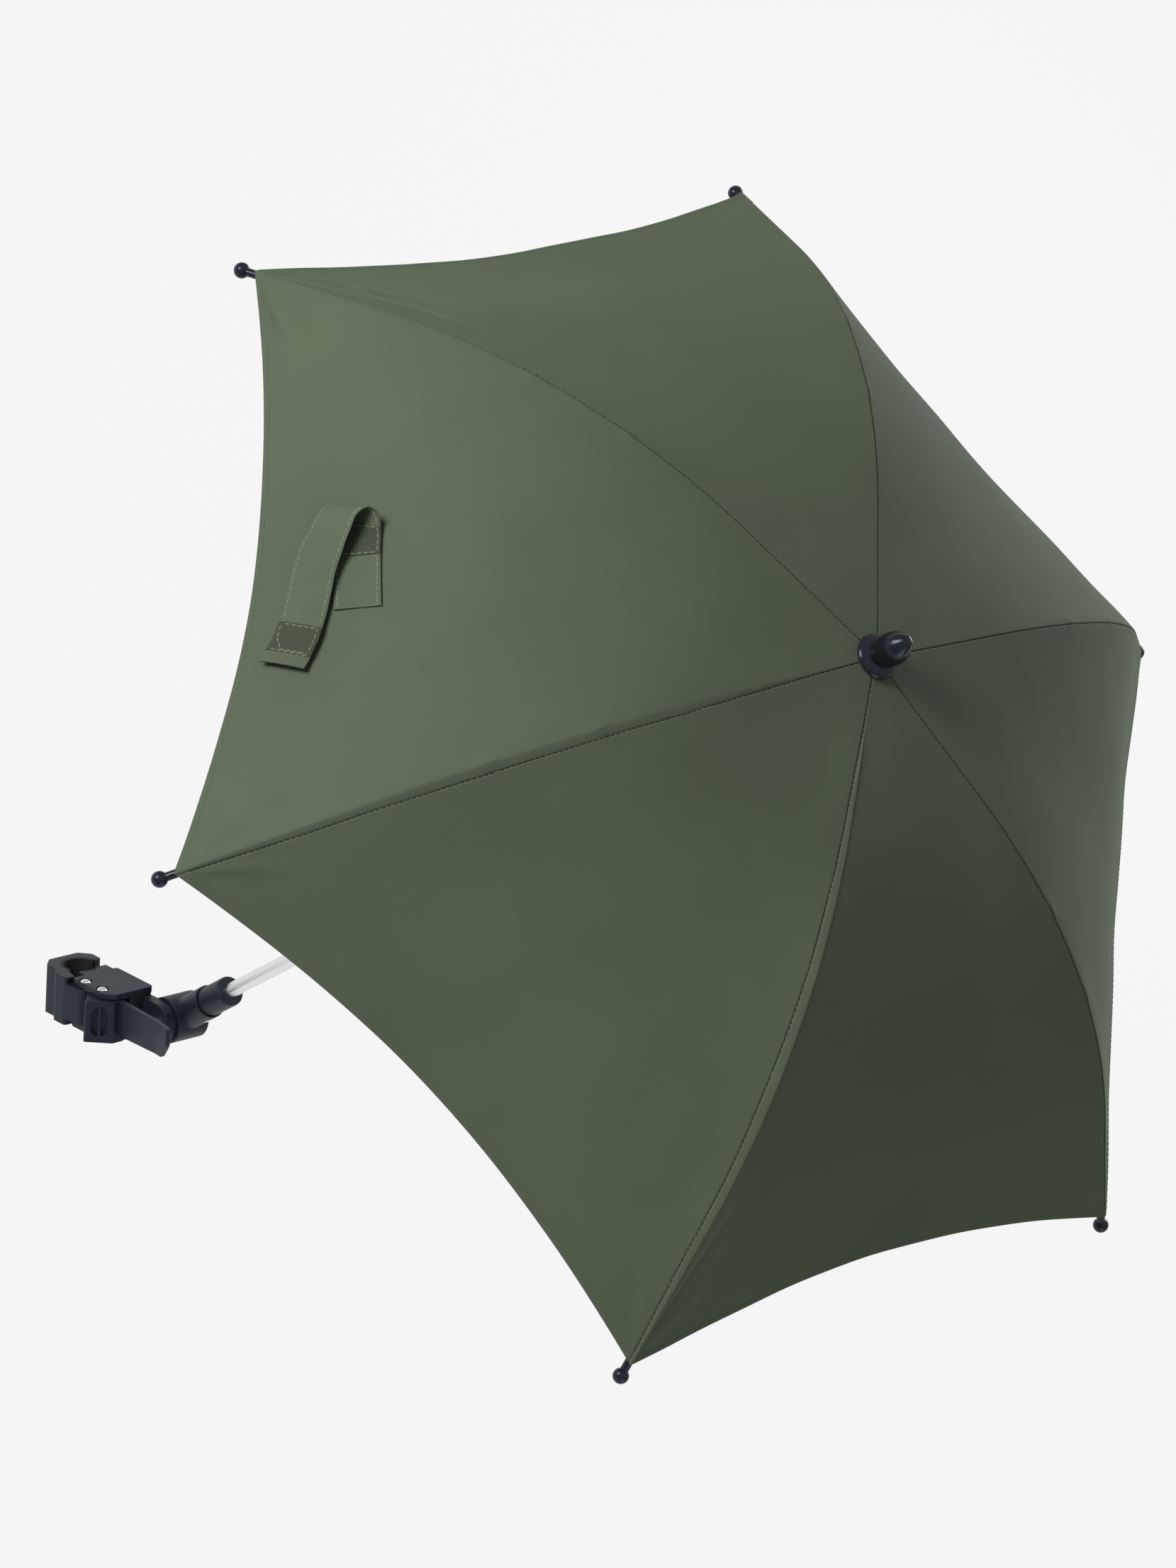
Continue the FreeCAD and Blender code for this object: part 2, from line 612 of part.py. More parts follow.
def knuckle():
    left = EAR_RIGHT + SIDE_GAP - HUB_X
    hub = cylinder(HUB_R, HUB_W, V(left, 0, 0), X_AXIS)
    sleeve = cylinder(SLEEVE_R, SLEEVE_TOP, V(0, 0, 0), Z_AXIS)
    socket_low = SLEEVE_TOP - SPIGOT_LENGTH - SIDE_GAP
    cuts = [
        cylinder(BOLT_R + RUN_FIT, HUB_W + 2 * OVERRUN, V(left - OVERRUN, 0, 0), X_AXIS),
        cylinder(SPIGOT_R + SEAT_FIT, SPIGOT_LENGTH + OVERRUN, V(0, 0, socket_low), Z_AXIS),
        cylinder(SET_SCREW_R + SEAT_FIT, SLEEVE_R, V(0, 0, SET_SCREW_UP), Y_AXIS * -1),
        cylinder(SET_SCREW_HEAD_R + SEAT_FIT, SLEEVE_R,
                 V(0, SET_SCREW_HEAD_T - SLEEVE_R, SET_SCREW_UP), Y_AXIS * -1),
    ]
    return on_hub(fuse([hub, sleeve]).cut(cuts))


def knuckle_screw():
    shank_end = SET_SCREW_HEAD_T - SLEEVE_R
    tip = -SPIGOT_R - SEAT_FIT
    shank = cylinder(SET_SCREW_R, tip - shank_end, V(0, shank_end, SET_SCREW_UP), Y_AXIS)
    head = cylinder(SET_SCREW_HEAD_R, SET_SCREW_HEAD_T, V(0, -SLEEVE_R, SET_SCREW_UP), Y_AXIS)
    slot = box(V(-SET_SCREW_HEAD_R, -SLEEVE_R - SET_SCREW_HEAD_T / 2, SET_SCREW_UP - SET_SCREW_HEAD_T / 4),
               V(SET_SCREW_HEAD_R, -SLEEVE_R + SET_SCREW_HEAD_T / 2, SET_SCREW_UP + SET_SCREW_HEAD_T / 4))
    return on_hub(fuse([shank, head]).cut(slot))


def hub_bolt():
    left = EAR_LEFT - HUB_X
    right = EAR_RIGHT + SIDE_GAP - HUB_X + HUB_W + SIDE_GAP
    shank = cylinder(BOLT_R, right - left, V(left, 0, 0), X_AXIS)
    head = cylinder(BOLT_HEAD_R, BOLT_HEAD_T, V(right, 0, 0), X_AXIS)
    dome = Part.makeSphere(BOLT_HEAD_R + BOLT_HEAD_T, V(right - BOLT_HEAD_R, 0, 0))
    corners = [V(left - NUT_T, NUT_R * math.cos(math.radians(RIB_STEP * i)),
                 NUT_R * math.sin(math.radians(RIB_STEP * i))) for i in range(RIB_COUNT)]
    nut = Part.Face(Part.makePolygon(corners + [corners[0]])).extrude(X_AXIS * NUT_T)
    return on_hub(fuse([shank, head.common(dome), nut]))


def pole_plug():
    collar_low = SLEEVE_TOP + PLUG_GROOVE
    nose_low = HUB_TO_MOUTH - PLUG_NOSE
    spigot = cylinder(SPIGOT_R, SPIGOT_LENGTH + PLUG_GROOVE, V(0, 0, SLEEVE_TOP - SPIGOT_LENGTH), Z_AXIS)
    collar = cylinder(PLUG_R, nose_low - collar_low, V(0, 0, collar_low), Z_AXIS)
    nose = Part.makeCone(PLUG_R, PLUG_NOSE_R, PLUG_NOSE, V(0, 0, nose_low), Z_AXIS)
    bore_low = HUB_TO_MOUTH - NECK_SEAT - SIDE_GAP
    bore = cylinder(NECK_R + SEAT_FIT, NECK_SEAT + OVERRUN, V(0, 0, bore_low), Z_AXIS)
    return on_hub(fuse([spigot, collar, nose]).cut(bore))


def neck_link(number):
    """One stretch of the wound neck, lofted along X and then stood up."""
    start = 0
    circles = []
    if number == 0:
        circles.append((-NECK_SEAT, NECK_R))
        circles.append((0, NECK_R))
        start = LINK_SHOULDER
    else:
        circles.append((LINK_GAP / 2, LINK_FACE))
        start = LINK_SHOULDER
    for rib in range(RIBS_PER_LINK):
        foot = start + rib * NECK_RIB_LENGTH
        circles.append((foot, NECK_ROOT_R))
        circles.append((foot + NECK_RIB_LENGTH * RIB_RISE_SHARE, NECK_R))
        circles.append((foot + NECK_RIB_LENGTH * RIB_TOP_SHARE, NECK_R))
        circles.append((foot + NECK_RIB_LENGTH * RIB_FALL_SHARE, NECK_ROOT_R))
    end = start + LINK_RIBBED
    if number == NECK_LINKS - 1:
        circles.append((LINK_STEP, NECK_R))
        circles.append((LINK_STEP + FERRULE_NECK_SEAT, NECK_R))
    else:
        circles.append((end, NECK_ROOT_R))
        circles.append((LINK_STEP - LINK_GAP / 2, LINK_FACE))
    wires = [Part.Wire(Part.makeCircle(radius, V(x, 0, 0), X_AXIS)) for x, radius in circles]
    solid = Part.makeLoft(wires, True, True)
    long = LINK_STEP + NECK_SEAT + FERRULE_NECK_SEAT + 2 * OVERRUN
    link = solid.cut(cylinder(NECK_BORE_R, long, V(-NECK_SEAT - OVERRUN, 0, 0), X_AXIS))
    link.rotate(V(0, 0, 0), Y_AXIS, -90)
    link.translate(POLE_AT + Z_AXIS * (MOUTH_Z + number * LINK_STEP))
    return link


# Shaft and crown

def ferrule():
    body = cylinder(FERRULE_R, FERRULE_LENGTH, V(0, 0, FERRULE_BOTTOM), Z_AXIS)
    neck_bore = cylinder(NECK_R + SEAT_FIT, FERRULE_NECK_SEAT + OVERRUN,
                         V(0, 0, FERRULE_BOTTOM - OVERRUN), Z_AXIS)
    shaft_bore = cylinder(SHAFT_R + SEAT_FIT, FERRULE_LENGTH, V(0, 0, SHAFT_BOTTOM), Z_AXIS)
    edges = [edge for edge in body.Edges if edge.Length > FERRULE_R * 2 * math.pi - SEAT_FIT]
    return on_canopy(body.makeChamfer(FERRULE_CHAMFER, edges).cut([neck_bore, shaft_bore]), 0)


def shaft_tube():
    length = SHAFT_TOP - SHAFT_BOTTOM
    tube = cylinder(SHAFT_R, length, V(0, 0, SHAFT_BOTTOM), Z_AXIS)
    bore = cylinder(SHAFT_R - SHAFT_WALL, length + 2 * OVERRUN, V(0, 0, SHAFT_BOTTOM - OVERRUN), Z_AXIS)
    window = box(V(0, -CATCH_T / 2 - SIDE_GAP, CATCH_LOW - SIDE_GAP),
                 V(SHAFT_R + OVERRUN, CATCH_T / 2 + SIDE_GAP, CATCH_HIGH + SIDE_GAP))
    window.rotate(V(0, 0, 0), Z_AXIS, CATCH_AZIMUTH)
    return on_canopy(tube.cut([bore, window]), 0)


CATCH_HIGH = RUNNER_BOTTOM - SIDE_GAP
CATCH_LOW = CATCH_HIGH - CATCH_HEIGHT


def runner_catch():
    tip = SHAFT_R + CATCH_PROUD
    outline = Part.makePolygon([
        V(CATCH_ROOT, -CATCH_T / 2, CATCH_LOW),
        V(SHAFT_R - SHAFT_WALL, -CATCH_T / 2, CATCH_LOW),
        V(tip, -CATCH_T / 2, CATCH_HIGH - CATCH_PROUD),
        V(tip, -CATCH_T / 2, CATCH_HIGH),
        V(CATCH_ROOT, -CATCH_T / 2, CATCH_HIGH),
        V(CATCH_ROOT, -CATCH_T / 2, CATCH_LOW),
    ])
    return on_canopy(Part.Face(outline).extrude(Y_AXIS * CATCH_T), CATCH_AZIMUTH)


def slots_and_pins(height):
    """Cutters of the radial slots in a crown or runner flange and of their pin holes."""
    cuts = []
    for k in range(RIB_COUNT):
        slot = box(V(CORE_R, -SLOT_W / 2, height - CROWN_LENGTH), V(CROWN_FLANGE_R + OVERRUN, SLOT_W / 2,
                                                                   height + CROWN_LENGTH))
        hole = pin_across(PIN_R + SEAT_FIT, SLOT_W + 2 * SLOT_PIN_SEAT, V(CROWN_PIVOT_R, 0, height))
        for tool in (slot, hole):
            tool.rotate(V(0, 0, 0), Z_AXIS, RIB_STEP * k)
            cuts.append(tool)
    return cuts


def pin_set(height):
    pins = []
    for k in range(RIB_COUNT):
        pin = pin_across(PIN_R, SLOT_W + 2 * SLOT_PIN_SEAT, V(CROWN_PIVOT_R, 0, height))
        pin.rotate(V(0, 0, 0), Z_AXIS, RIB_STEP * k)
        pins.append(pin)
    return on_canopy(Part.makeCompound(pins), 0)


def crown():
    height = CROWN_PIVOT.z
    top = height + CROWN_FLANGE_RISE
    flange = cylinder(CROWN_FLANGE_R, CROWN_FLANGE_RISE + CROWN_FLANGE_DROP,
                      V(0, 0, height - CROWN_FLANGE_DROP), Z_AXIS)
    flange = flange.cut(slots_and_pins(height))
    core = cylinder(CORE_R, CROWN_LENGTH, V(0, 0, top - CROWN_LENGTH), Z_AXIS)
    bore_low = top - CROWN_LENGTH - OVERRUN
    bore = cylinder(SHAFT_R + SEAT_FIT, CROWN_LENGTH + 2 * OVERRUN, V(0, 0, bore_low), Z_AXIS)
    return on_canopy(fuse([flange, core]).cut(bore), 0)


def runner():
    height = RUNNER_PIVOT.z
    flange = cylinder(CROWN_FLANGE_R, RUNNER_FLANGE_RISE + RUNNER_FLANGE_DROP,
                      V(0, 0, height - RUNNER_FLANGE_DROP), Z_AXIS)
    flange = flange.cut(slots_and_pins(height))
    core = cylinder(CORE_R, RUNNER_LENGTH, V(0, 0, RUNNER_BOTTOM), Z_AXIS)
    grip = cylinder(RUNNER_GRIP_R, RUNNER_GRIP_LENGTH, V(0, 0, RUNNER_BOTTOM), Z_AXIS)
    bore = cylinder(SHAFT_R + RUN_FIT, RUNNER_LENGTH + 2 * OVERRUN, V(0, 0, RUNNER_BOTTOM - OVERRUN), Z_AXIS)
    keyway = box(V(0, -CATCH_T / 2 - SIDE_GAP, RUNNER_BOTTOM - OVERRUN),
                 V(SHAFT_R + CATCH_PROUD + SIDE_GAP, CATCH_T / 2 + SIDE_GAP,
                   RUNNER_BOTTOM + RUNNER_LENGTH + OVERRUN))
    keyway.rotate(V(0, 0, 0), Z_AXIS, CATCH_AZIMUTH)
    return on_canopy(fuse([flange, core, grip]).cut([bore, keyway]), 0)


def belly_arc(belly_z, end_r, end_z):
    """Arc of the finial's outline: upright at the belly, drawn in to a radius at another height."""
    draw_in = FINIAL_BODY_R - end_r
    rise = end_z - belly_z
    bend_r = (draw_in ** 2 + rise ** 2) / (2 * draw_in)
    half_turn = math.asin(rise / bend_r) / 2
    mid_r = FINIAL_BODY_R - bend_r * (1 - math.cos(half_turn))
    middle = V(mid_r, 0, belly_z + bend_r * math.sin(half_turn))
    return Part.Arc(V(FINIAL_BODY_R, 0, belly_z), middle, V(end_r, 0, end_z)).toShape()


def finial():
    base = FINIAL_BASE_Z
    edge_z = base + FINIAL_EDGE_T
    waist_z = base + FINIAL_BASE_T
    belly_z = base + FINIAL_BELLY_UP
    top_z = base + FINIAL_HEIGHT
    out_share, up_share = FINIAL_SAUCER_SHARES
    saucer_r = FINIAL_WAIST_R + (FINIAL_BASE_R - FINIAL_WAIST_R) * out_share
    saucer_z = edge_z + (waist_z - edge_z) * up_share
    rim = V(FINIAL_BASE_R, 0, edge_z)
    waist = V(FINIAL_WAIST_R, 0, waist_z)
    edges = [
        Part.makeLine(V(0, 0, base), V(FINIAL_BASE_R, 0, base)),
        Part.makeLine(V(FINIAL_BASE_R, 0, base), rim),
        Part.Arc(rim, V(saucer_r, 0, saucer_z), waist).toShape(),
        belly_arc(belly_z, FINIAL_WAIST_R, waist_z),
        belly_arc(belly_z, FINIAL_TIP_R, top_z),
        Part.makeLine(V(FINIAL_TIP_R, 0, top_z), V(0, 0, top_z)),
        Part.makeLine(V(0, 0, top_z), V(0, 0, base)),
    ]
    outline = Part.Wire(Part.sortEdges(edges)[0])
    body = Part.Face(outline).revolve(V(0, 0, 0), Z_AXIS, 360)
    socket = cylinder(SHAFT_R + SEAT_FIT, FINIAL_SOCKET + OVERRUN, V(0, 0, base - OVERRUN), Z_AXIS)
    return on_canopy(body.cut(socket), 0)


# Ribs and stretchers, modelled in the plane of the rib that points along +X

def rib_inner():
    bend_start = BEND_X + RIB_BEND_R * math.sin(ROOT_A)
    rod_end_r = SPLICE_R - BRIDGE_START * math.cos(rib_slope(SPLICE_R))
    root_run = Part.makeLine(CROWN_PIVOT, rib_point(bend_start))
    rod = rod_along([root_run, rib_arc(bend_start, rod_end_r)], RIB_ROD_R)
    root_eye = pin_across(EYE_R, EYE_ROOT_W, CROWN_PIVOT)
    plate_start = rib_point(rod_end_r - FORK_LENGTH)
    pieces = [rod, root_eye] + eye_plate(plate_start, SPLICE) + eye_plate(BRACKET_SEAT, BRACKET_PIN)
    holes = [
        pin_across(HOLE_R, EYE_ROOT_W + OVERRUN, CROWN_PIVOT),
        pin_across(HOLE_R, EYE_PLATE_T + OVERRUN, SPLICE),
        pin_across(HOLE_R, EYE_PLATE_T + OVERRUN, BRACKET_PIN),
    ]
    return fuse(pieces).cut(holes)


def rib_outer():
    along = rib_direction(SPLICE_R)
    bridge = SPLICE + along * BRIDGE_START
    rod_start_r = bridge.x
    rim = V(math.cos(RIM_A), 0, -math.sin(RIM_A))
    rod_end = V(TIP_CIRCLE_R, 0, 0) - rim * TIP_ROD_INSET
    rim_run = Part.makeLine(rib_point(BEND_END_R), rod_end)
    rod = rod_along([rib_arc(rod_start_r, BEND_END_R), rim_run], RIB_ROD_R)
    return fuse([rod] + fork(SPLICE, along))


def rib_tip():
    rim = V(math.cos(RIM_A), 0, -math.sin(RIM_A))
    middle = V(TIP_CIRCLE_R, 0, 0)
    stem = cylinder(TIP_STEM_R, TIP_STEM_LENGTH, middle - rim * TIP_STEM_LENGTH, rim)
    ball = Part.makeSphere(TIP_BALL_R, middle)
    bore = cylinder(RIB_ROD_R + SEAT_FIT, TIP_STEM_LENGTH + OVERRUN - TIP_ROD_INSET,
                    middle - rim * (TIP_STEM_LENGTH + OVERRUN), rim)
    return fuse([stem, ball]).cut(bore)


def stretcher():
    along = RUNNER_PIVOT - BRACKET_PIN
    reach = along.Length
    along.normalize()
    start = BRACKET_PIN + along * BRIDGE_START
    rod = cylinder(STRETCHER_ROD_R, reach - BRIDGE_START, start, along)
    eye = pin_across(EYE_R, EYE_ROOT_W, RUNNER_PIVOT)
    hole = pin_across(HOLE_R, EYE_ROOT_W + OVERRUN, RUNNER_PIVOT)
    return fuse([rod, eye] + fork(BRACKET_PIN, along)).cut(hole)


# Cloth panels, modelled about the middle plane between two ribs, which lies along +X

def gore_band(start_r, end_r):
    """The panel's cross-section in its middle plane, drawn out along Y."""
    top = []
    low = []
    for i in range(GORE_SAMPLES):
        radius = start_r + (end_r - start_r) * i / (GORE_SAMPLES - 1)
        height = rib_height(radius, RIB_SINK)
        top.append(V(radius * COS_HALF, 0, height))
        low.append(V(radius * COS_HALF, 0, height - FABRIC_T))
    upper = Part.BSplineCurve()
    upper.interpolate(top)
    lower = Part.BSplineCurve()
    lower.interpolate(low)
    edges = [
        upper.toShape(),
        Part.makeLine(top[-1], low[-1]),
        lower.toShape(),
        Part.makeLine(low[0], top[0]),
    ]
    face = Part.Face(Part.Wire(Part.sortEdges(edges)[0]))
    face.translate(Y_AXIS * -CORNER_R)
    return face.extrude(Y_AXIS * (2 * CORNER_R))


def gore_side(x):
    """Half width of a panel at a distance from the pole axis, clear of the rib plane."""
    return x * TAN_HALF - SOFT_GAP / 2 / COS_HALF


def gore_plan(near_x, far_edges):
    """Plan of a panel between the two rib planes, from near_x to the edges given, as a tall prism."""
    near_y = gore_side(near_x)
    far_low = far_edges[0].valueAt(far_edges[0].FirstParameter)
    far_high = far_edges[-1].valueAt(far_edges[-1].LastParameter)
    edges = [
        Part.makeLine(V(near_x, near_y, 0), V(near_x, -near_y, 0)),
        Part.makeLine(V(near_x, -near_y, 0), far_low),
    ] + far_edges + [Part.makeLine(far_high, V(near_x, near_y, 0))]
    face = Part.Face(Part.Wire(edges))
    face.translate(Z_AXIS * -OVERRUN)
    return face.extrude(Z_AXIS * (CROWN_PIVOT.z + RIB_SINK + 2 * OVERRUN))


def gore_inner():
    far_x = SPLICE_R * COS_HALF - SOFT_GAP / 2
    far = Part.makeLine(V(far_x, -gore_side(far_x), 0), V(far_x, gore_side(far_x), 0))
    plan = gore_plan(CROWN_HOLE_R, [far])
    return gore_band(CROWN_HOLE_R - SOFT_GAP, SPLICE_R + OVERRUN).common(plan)


def gore_outer():
    near_x = SPLICE_R * COS_HALF + SOFT_GAP / 2
    corner_x = CORNER_R * COS_HALF
    side = gore_side(corner_x)
    rim = Part.Arc(V(corner_x, -side, 0), V(corner_x - SCALLOP_DEPTH, 0, 0), V(corner_x, side, 0)).toShape()
    plan = gore_plan(near_x, [rim])
    return gore_band(SPLICE_R - OVERRUN, CORNER_R + OVERRUN).common(plan)


def closing_strap():
    """The folded strap on the outer panel: a sewn ply, a free ply over it and the fold between."""
    slope = math.atan(math.tan(RIM_A) / COS_HALF)
    radius = STRAP_PLACE_R / COS_HALF
    place = V(STRAP_PLACE_R, 0, rib_height(radius, RIB_SINK))
    down = V(math.cos(slope), 0, -math.sin(slope))
    normal = V(math.sin(slope), 0, math.cos(slope))

    def ply(ends, lift, thick):
        corners = []
        for along, shift in ends:
            corners.append(place + Y_AXIS * along + down * shift + normal * lift)
        return Part.Face(Part.makePolygon(corners + [corners[0]])).extrude(normal * thick)

    half = STRAP_WIDTH / 2
    fold_at = -STRAP_FOLD_OFFSET
    base_end = fold_at + STRAP_BASE_LENGTH
    free_end = fold_at + STRAP_FREE_LENGTH
    base = [
        (fold_at, -STRAP_FOLD_SIDE_OFFSET - half),
        (base_end, -STRAP_BASE_SIDE_OFFSET - half),
        (base_end, half - STRAP_BASE_SIDE_OFFSET),
        (fold_at, half - STRAP_FOLD_SIDE_OFFSET),
    ]
    free = [
        (fold_at, -STRAP_FOLD_SIDE_OFFSET - half),
        (free_end, STRAP_FREE_SIDE_OFFSET - half),
        (free_end, half + STRAP_FREE_SIDE_OFFSET),
        (fold_at, half - STRAP_FOLD_SIDE_OFFSET),
    ]
    upper = STRAP_LIFT + STRAP_T + STRAP_PLY_GAP
    turn = fold_at - STRAP_FOLD_LENGTH
    fold_sides = (-STRAP_FOLD_SIDE_OFFSET - half, half - STRAP_FOLD_SIDE_OFFSET)
    fold = [(turn, fold_sides[0]), (fold_at, fold_sides[0]), (fold_at, fold_sides[1]), (turn, fold_sides[1])]
    pieces = [
        ply(base, STRAP_LIFT, STRAP_T),
        ply(free, upper, STRAP_T),
        ply(fold, STRAP_LIFT, upper + STRAP_T - STRAP_LIFT),
    ]
    return fuse(pieces)


def main():
    os.makedirs("parts", exist_ok=True)
    single = {
        "clamp_housing": clamp_housing,
        "clamp_rivets": clamp_rivets,
        "housing_pad": housing_pad,
        "clamp_jaw": clamp_jaw,
        "jaw_pad": jaw_pad,
        "clamp_lever": clamp_lever,
        "knuckle": knuckle,
        "knuckle_screw": knuckle_screw,
        "hub_bolt": hub_bolt,
        "pole_plug": pole_plug,
        "ferrule": ferrule,
        "shaft_tube": shaft_tube,
        "runner_catch": runner_catch,
        "crown": crown,
        "runner": runner,
        "finial": finial,
    }
    for name, maker in single.items():
        save(name, maker())
    save("crown_pins", pin_set(CROWN_PIVOT.z))
    save("runner_pins", pin_set(RUNNER_PIVOT.z))
    for number in range(NECK_LINKS):
        save("neck_link_" + str(number + 1), neck_link(number))
    per_rib = {
        "rib_inner": rib_inner(),
        "rib_outer": rib_outer(),
        "rib_tip": rib_tip(),
        "stretcher": stretcher(),
    }
    per_gore = {"gore_inner": gore_inner(), "gore_outer": gore_outer()}
    for k in range(RIB_COUNT):
        for name, shape in per_rib.items():
            save(name + "_" + str(k + 1), on_canopy(shape, RIB_STEP * k))
        for name, shape in per_gore.items():
            save(name + "_" + str(k + 1), on_canopy(shape, RIB_STEP * k + HALF_STEP))
    save("closing_strap", on_canopy(closing_strap(), RIB_STEP * STRAP_GORE + HALF_STEP))


main()
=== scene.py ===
"""Looks of the pram parasol: cloth canopy, seams, strap, wound neck, finishes, light and camera."""
import json
import math

import bpy
import numpy as np
from mathutils import Matrix, Vector


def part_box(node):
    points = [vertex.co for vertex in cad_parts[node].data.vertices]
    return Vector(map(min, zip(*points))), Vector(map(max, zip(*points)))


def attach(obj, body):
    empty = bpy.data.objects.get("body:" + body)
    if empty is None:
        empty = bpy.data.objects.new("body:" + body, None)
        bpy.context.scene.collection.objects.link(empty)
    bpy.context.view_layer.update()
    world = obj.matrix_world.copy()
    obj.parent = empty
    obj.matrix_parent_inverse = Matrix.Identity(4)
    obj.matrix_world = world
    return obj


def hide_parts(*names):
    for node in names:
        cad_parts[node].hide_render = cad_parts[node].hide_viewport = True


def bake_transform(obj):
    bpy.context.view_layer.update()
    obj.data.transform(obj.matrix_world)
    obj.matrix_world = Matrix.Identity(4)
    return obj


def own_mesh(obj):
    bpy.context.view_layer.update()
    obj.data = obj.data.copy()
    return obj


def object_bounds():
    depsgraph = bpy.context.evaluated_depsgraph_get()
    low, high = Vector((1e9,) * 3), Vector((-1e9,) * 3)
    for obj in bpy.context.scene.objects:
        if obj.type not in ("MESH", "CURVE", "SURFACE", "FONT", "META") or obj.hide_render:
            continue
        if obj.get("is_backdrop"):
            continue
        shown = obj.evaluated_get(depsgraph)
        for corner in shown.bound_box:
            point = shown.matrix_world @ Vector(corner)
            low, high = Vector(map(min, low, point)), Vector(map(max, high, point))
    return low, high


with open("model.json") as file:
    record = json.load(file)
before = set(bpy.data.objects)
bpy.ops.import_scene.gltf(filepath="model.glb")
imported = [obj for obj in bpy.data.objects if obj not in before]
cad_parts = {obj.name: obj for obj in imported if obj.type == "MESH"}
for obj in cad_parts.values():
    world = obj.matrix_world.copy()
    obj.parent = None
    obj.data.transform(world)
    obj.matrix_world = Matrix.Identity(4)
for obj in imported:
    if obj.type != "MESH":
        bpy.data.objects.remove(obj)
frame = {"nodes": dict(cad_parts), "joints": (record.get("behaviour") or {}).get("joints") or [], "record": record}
nodes = frame["nodes"]
cad_low, cad_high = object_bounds()
scene = bpy.context.scene

# Lengths below are in millimetres and angles in degrees; meshes are made in metres
MM = 0.001

# Canopy, as the part's ribs and panels have it
RIB_COUNT = 6
RIB_STEP = 360.0 / RIB_COUNT
HALF_STEP = RIB_STEP / 2
COS_HALF = math.cos(math.radians(HALF_STEP))
TAN_HALF = math.tan(math.radians(HALF_STEP))
RIB_BEND_R = 331.0
RIB_RIM_RUN = 62.0
ROOT_A = math.radians(6.65)
RIM_A = math.radians(45.0)
RIB_SINK = 3.2             # cloth's outside over the rib's middle line
SPLICE_R = 222.0
BRACKET_R = 168.0
CORNER_INSET = 3.4
TIP_BALL_R = 4.3
SCALLOP_DEPTH = 13.1
CROWN_HOLE_X = 7.2

# Cloth
CLOTH_T = 0.4
SLOPE_STEP = 0.15          # distance over which the cloth's slope is measured
SAG = 4.6                  # how far a panel hangs in between two ribs
SAG_FROM = 20.0            # out from the pole axis, where the sag sets in
SAG_RUN = 190.0
SAG_POWER = 1.3
CREST_ROUND = 1.1          # rounding of the cloth over a rib
BUMP_LIFT = 0.6            # rib joints that push the cloth up
BUMP_REACH = 5.0
HEM_W = 4.6
HEM_T = 1.1
HEM_STEP_RUN = 0.8         # over which the cloth rises to its folded hem
HEM_RAISE = 0.22
HEM_LIP_W = 0.6            # rounded lip at the very rim
HEM_LIP_ROUND = 0.96
HEM_LIP_DROP = 0.45
HEM_LIP_THIN = 0.75
HEM_STITCH = 2.7           # from the rim
HEM_STITCH_LIFT = 0.26
HEM_STITCH_END = 4.0       # from the panel's corner
HEM_STITCH_POINTS = 240
STITCH_SHARES = np.array([0, 0.18, 0.5, 0.82, 1])        # places along a stitch and its width there
STITCH_SWELL = np.array([0.25, 0.85, 1, 0.85, 0.25])
STITCH_RISE = 0.9          # how far it stands out of the cloth and sinks in, for each half width
STITCH_SINK = 0.5
DASH = 2.4
DASH_GAP = 0.8
DASH_W = 0.42
# Seam stitches: near-black and nearly unbroken, partly real thread and partly a painted shadow line along each
# seam's fold
SEAM_DASH = 2.8
SEAM_DASH_GAP = 0.35
SEAM_DASH_W = 0.85
SEAM_STITCH_END = 3.0      # from the crown's hole and from the corner
SEAM_POINTS = 160
SEAM_W = 14.0              # tape under a seam
SEAM_T = 0.25
SEAM_DROP = 1.0
TAPE_ROWS = 40
TAPE_COLUMNS = 9
TAPE_SHARE = 0.8           # most of a panel's half width that a tape may take
TAPE_CROWN_END = 6.0       # the tape's ends: from the crown's hole, the splice and the corner
TAPE_SPLICE_END = 1.0
TAPE_RIM_END = 10.0
UV_UNIT = 100.0            # millimetres for each unit of the cloth's texture

# Where the stitched line leaves the rib: rib index, panel index and the most that they are apart
SEAM_ON_RIB = 0.7
SHIFTED_SEAMS = {(3, 3): 5.2, (4, 3): 5.4}
SEAM_SHIFT_AT = (0, 40, 130, 230, 300, 346)
SEAM_SHIFT_SHARE = (0.1, 0.22, 0.8, 1.0, 0.75, 0.3)
FACET_LIFT = 0.55
GROOVE_DEPTH = 0.42
GROOVE_W = 0.5

# Creases that run out from the tips: panel, end (-1 or 1), angle from the rib, spread, start, length, height
CREASES = (
    (1, 1, 9.0, 2.6, 6.0, 150.0, 1.5),
    (1, 1, 15.5, 2.4, 4.0, 110.0, -0.9),
    (1, 1, 21.0, 3.0, 6.0, 120.0, 0.8),
    (2, -1, 41.0, 5.0, 10.0, 44.0, -1.2),
    (2, -1, 30.0, 6.0, 12.0, 60.0, 0.7),
    (2, 1, 24.0, 7.0, 12.0, 70.0, 0.6),
    (3, -1, 16.0, 5.0, 10.0, 60.0, 0.6),
    (3, 1, 26.0, 6.0, 10.0, 70.0, -0.5),
    (4, -1, 7.0, 2.2, 8.0, 120.0, -0.8),
    (4, -1, 22.0, 6.0, 10.0, 60.0, 0.5),
    (4, 1, 18.0, 6.0, 10.0, 60.0, 0.6),
    (5, -1, 14.0, 5.0, 10.0, 80.0, 0.7),
    (5, 1, 20.0, 6.0, 10.0, 70.0, -0.7),
    (0, -1, 20.0, 6.0, 10.0, 70.0, 0.8),
    (0, 1, 17.0, 5.0, 8.0, 60.0, -1.0),
    (0, 1, 36.0, 7.0, 8.0, 50.0, 0.8),
    (1, -1, 24.0, 7.0, 10.0, 60.0, 0.5),
)
CREASE_RAMP = 16.0
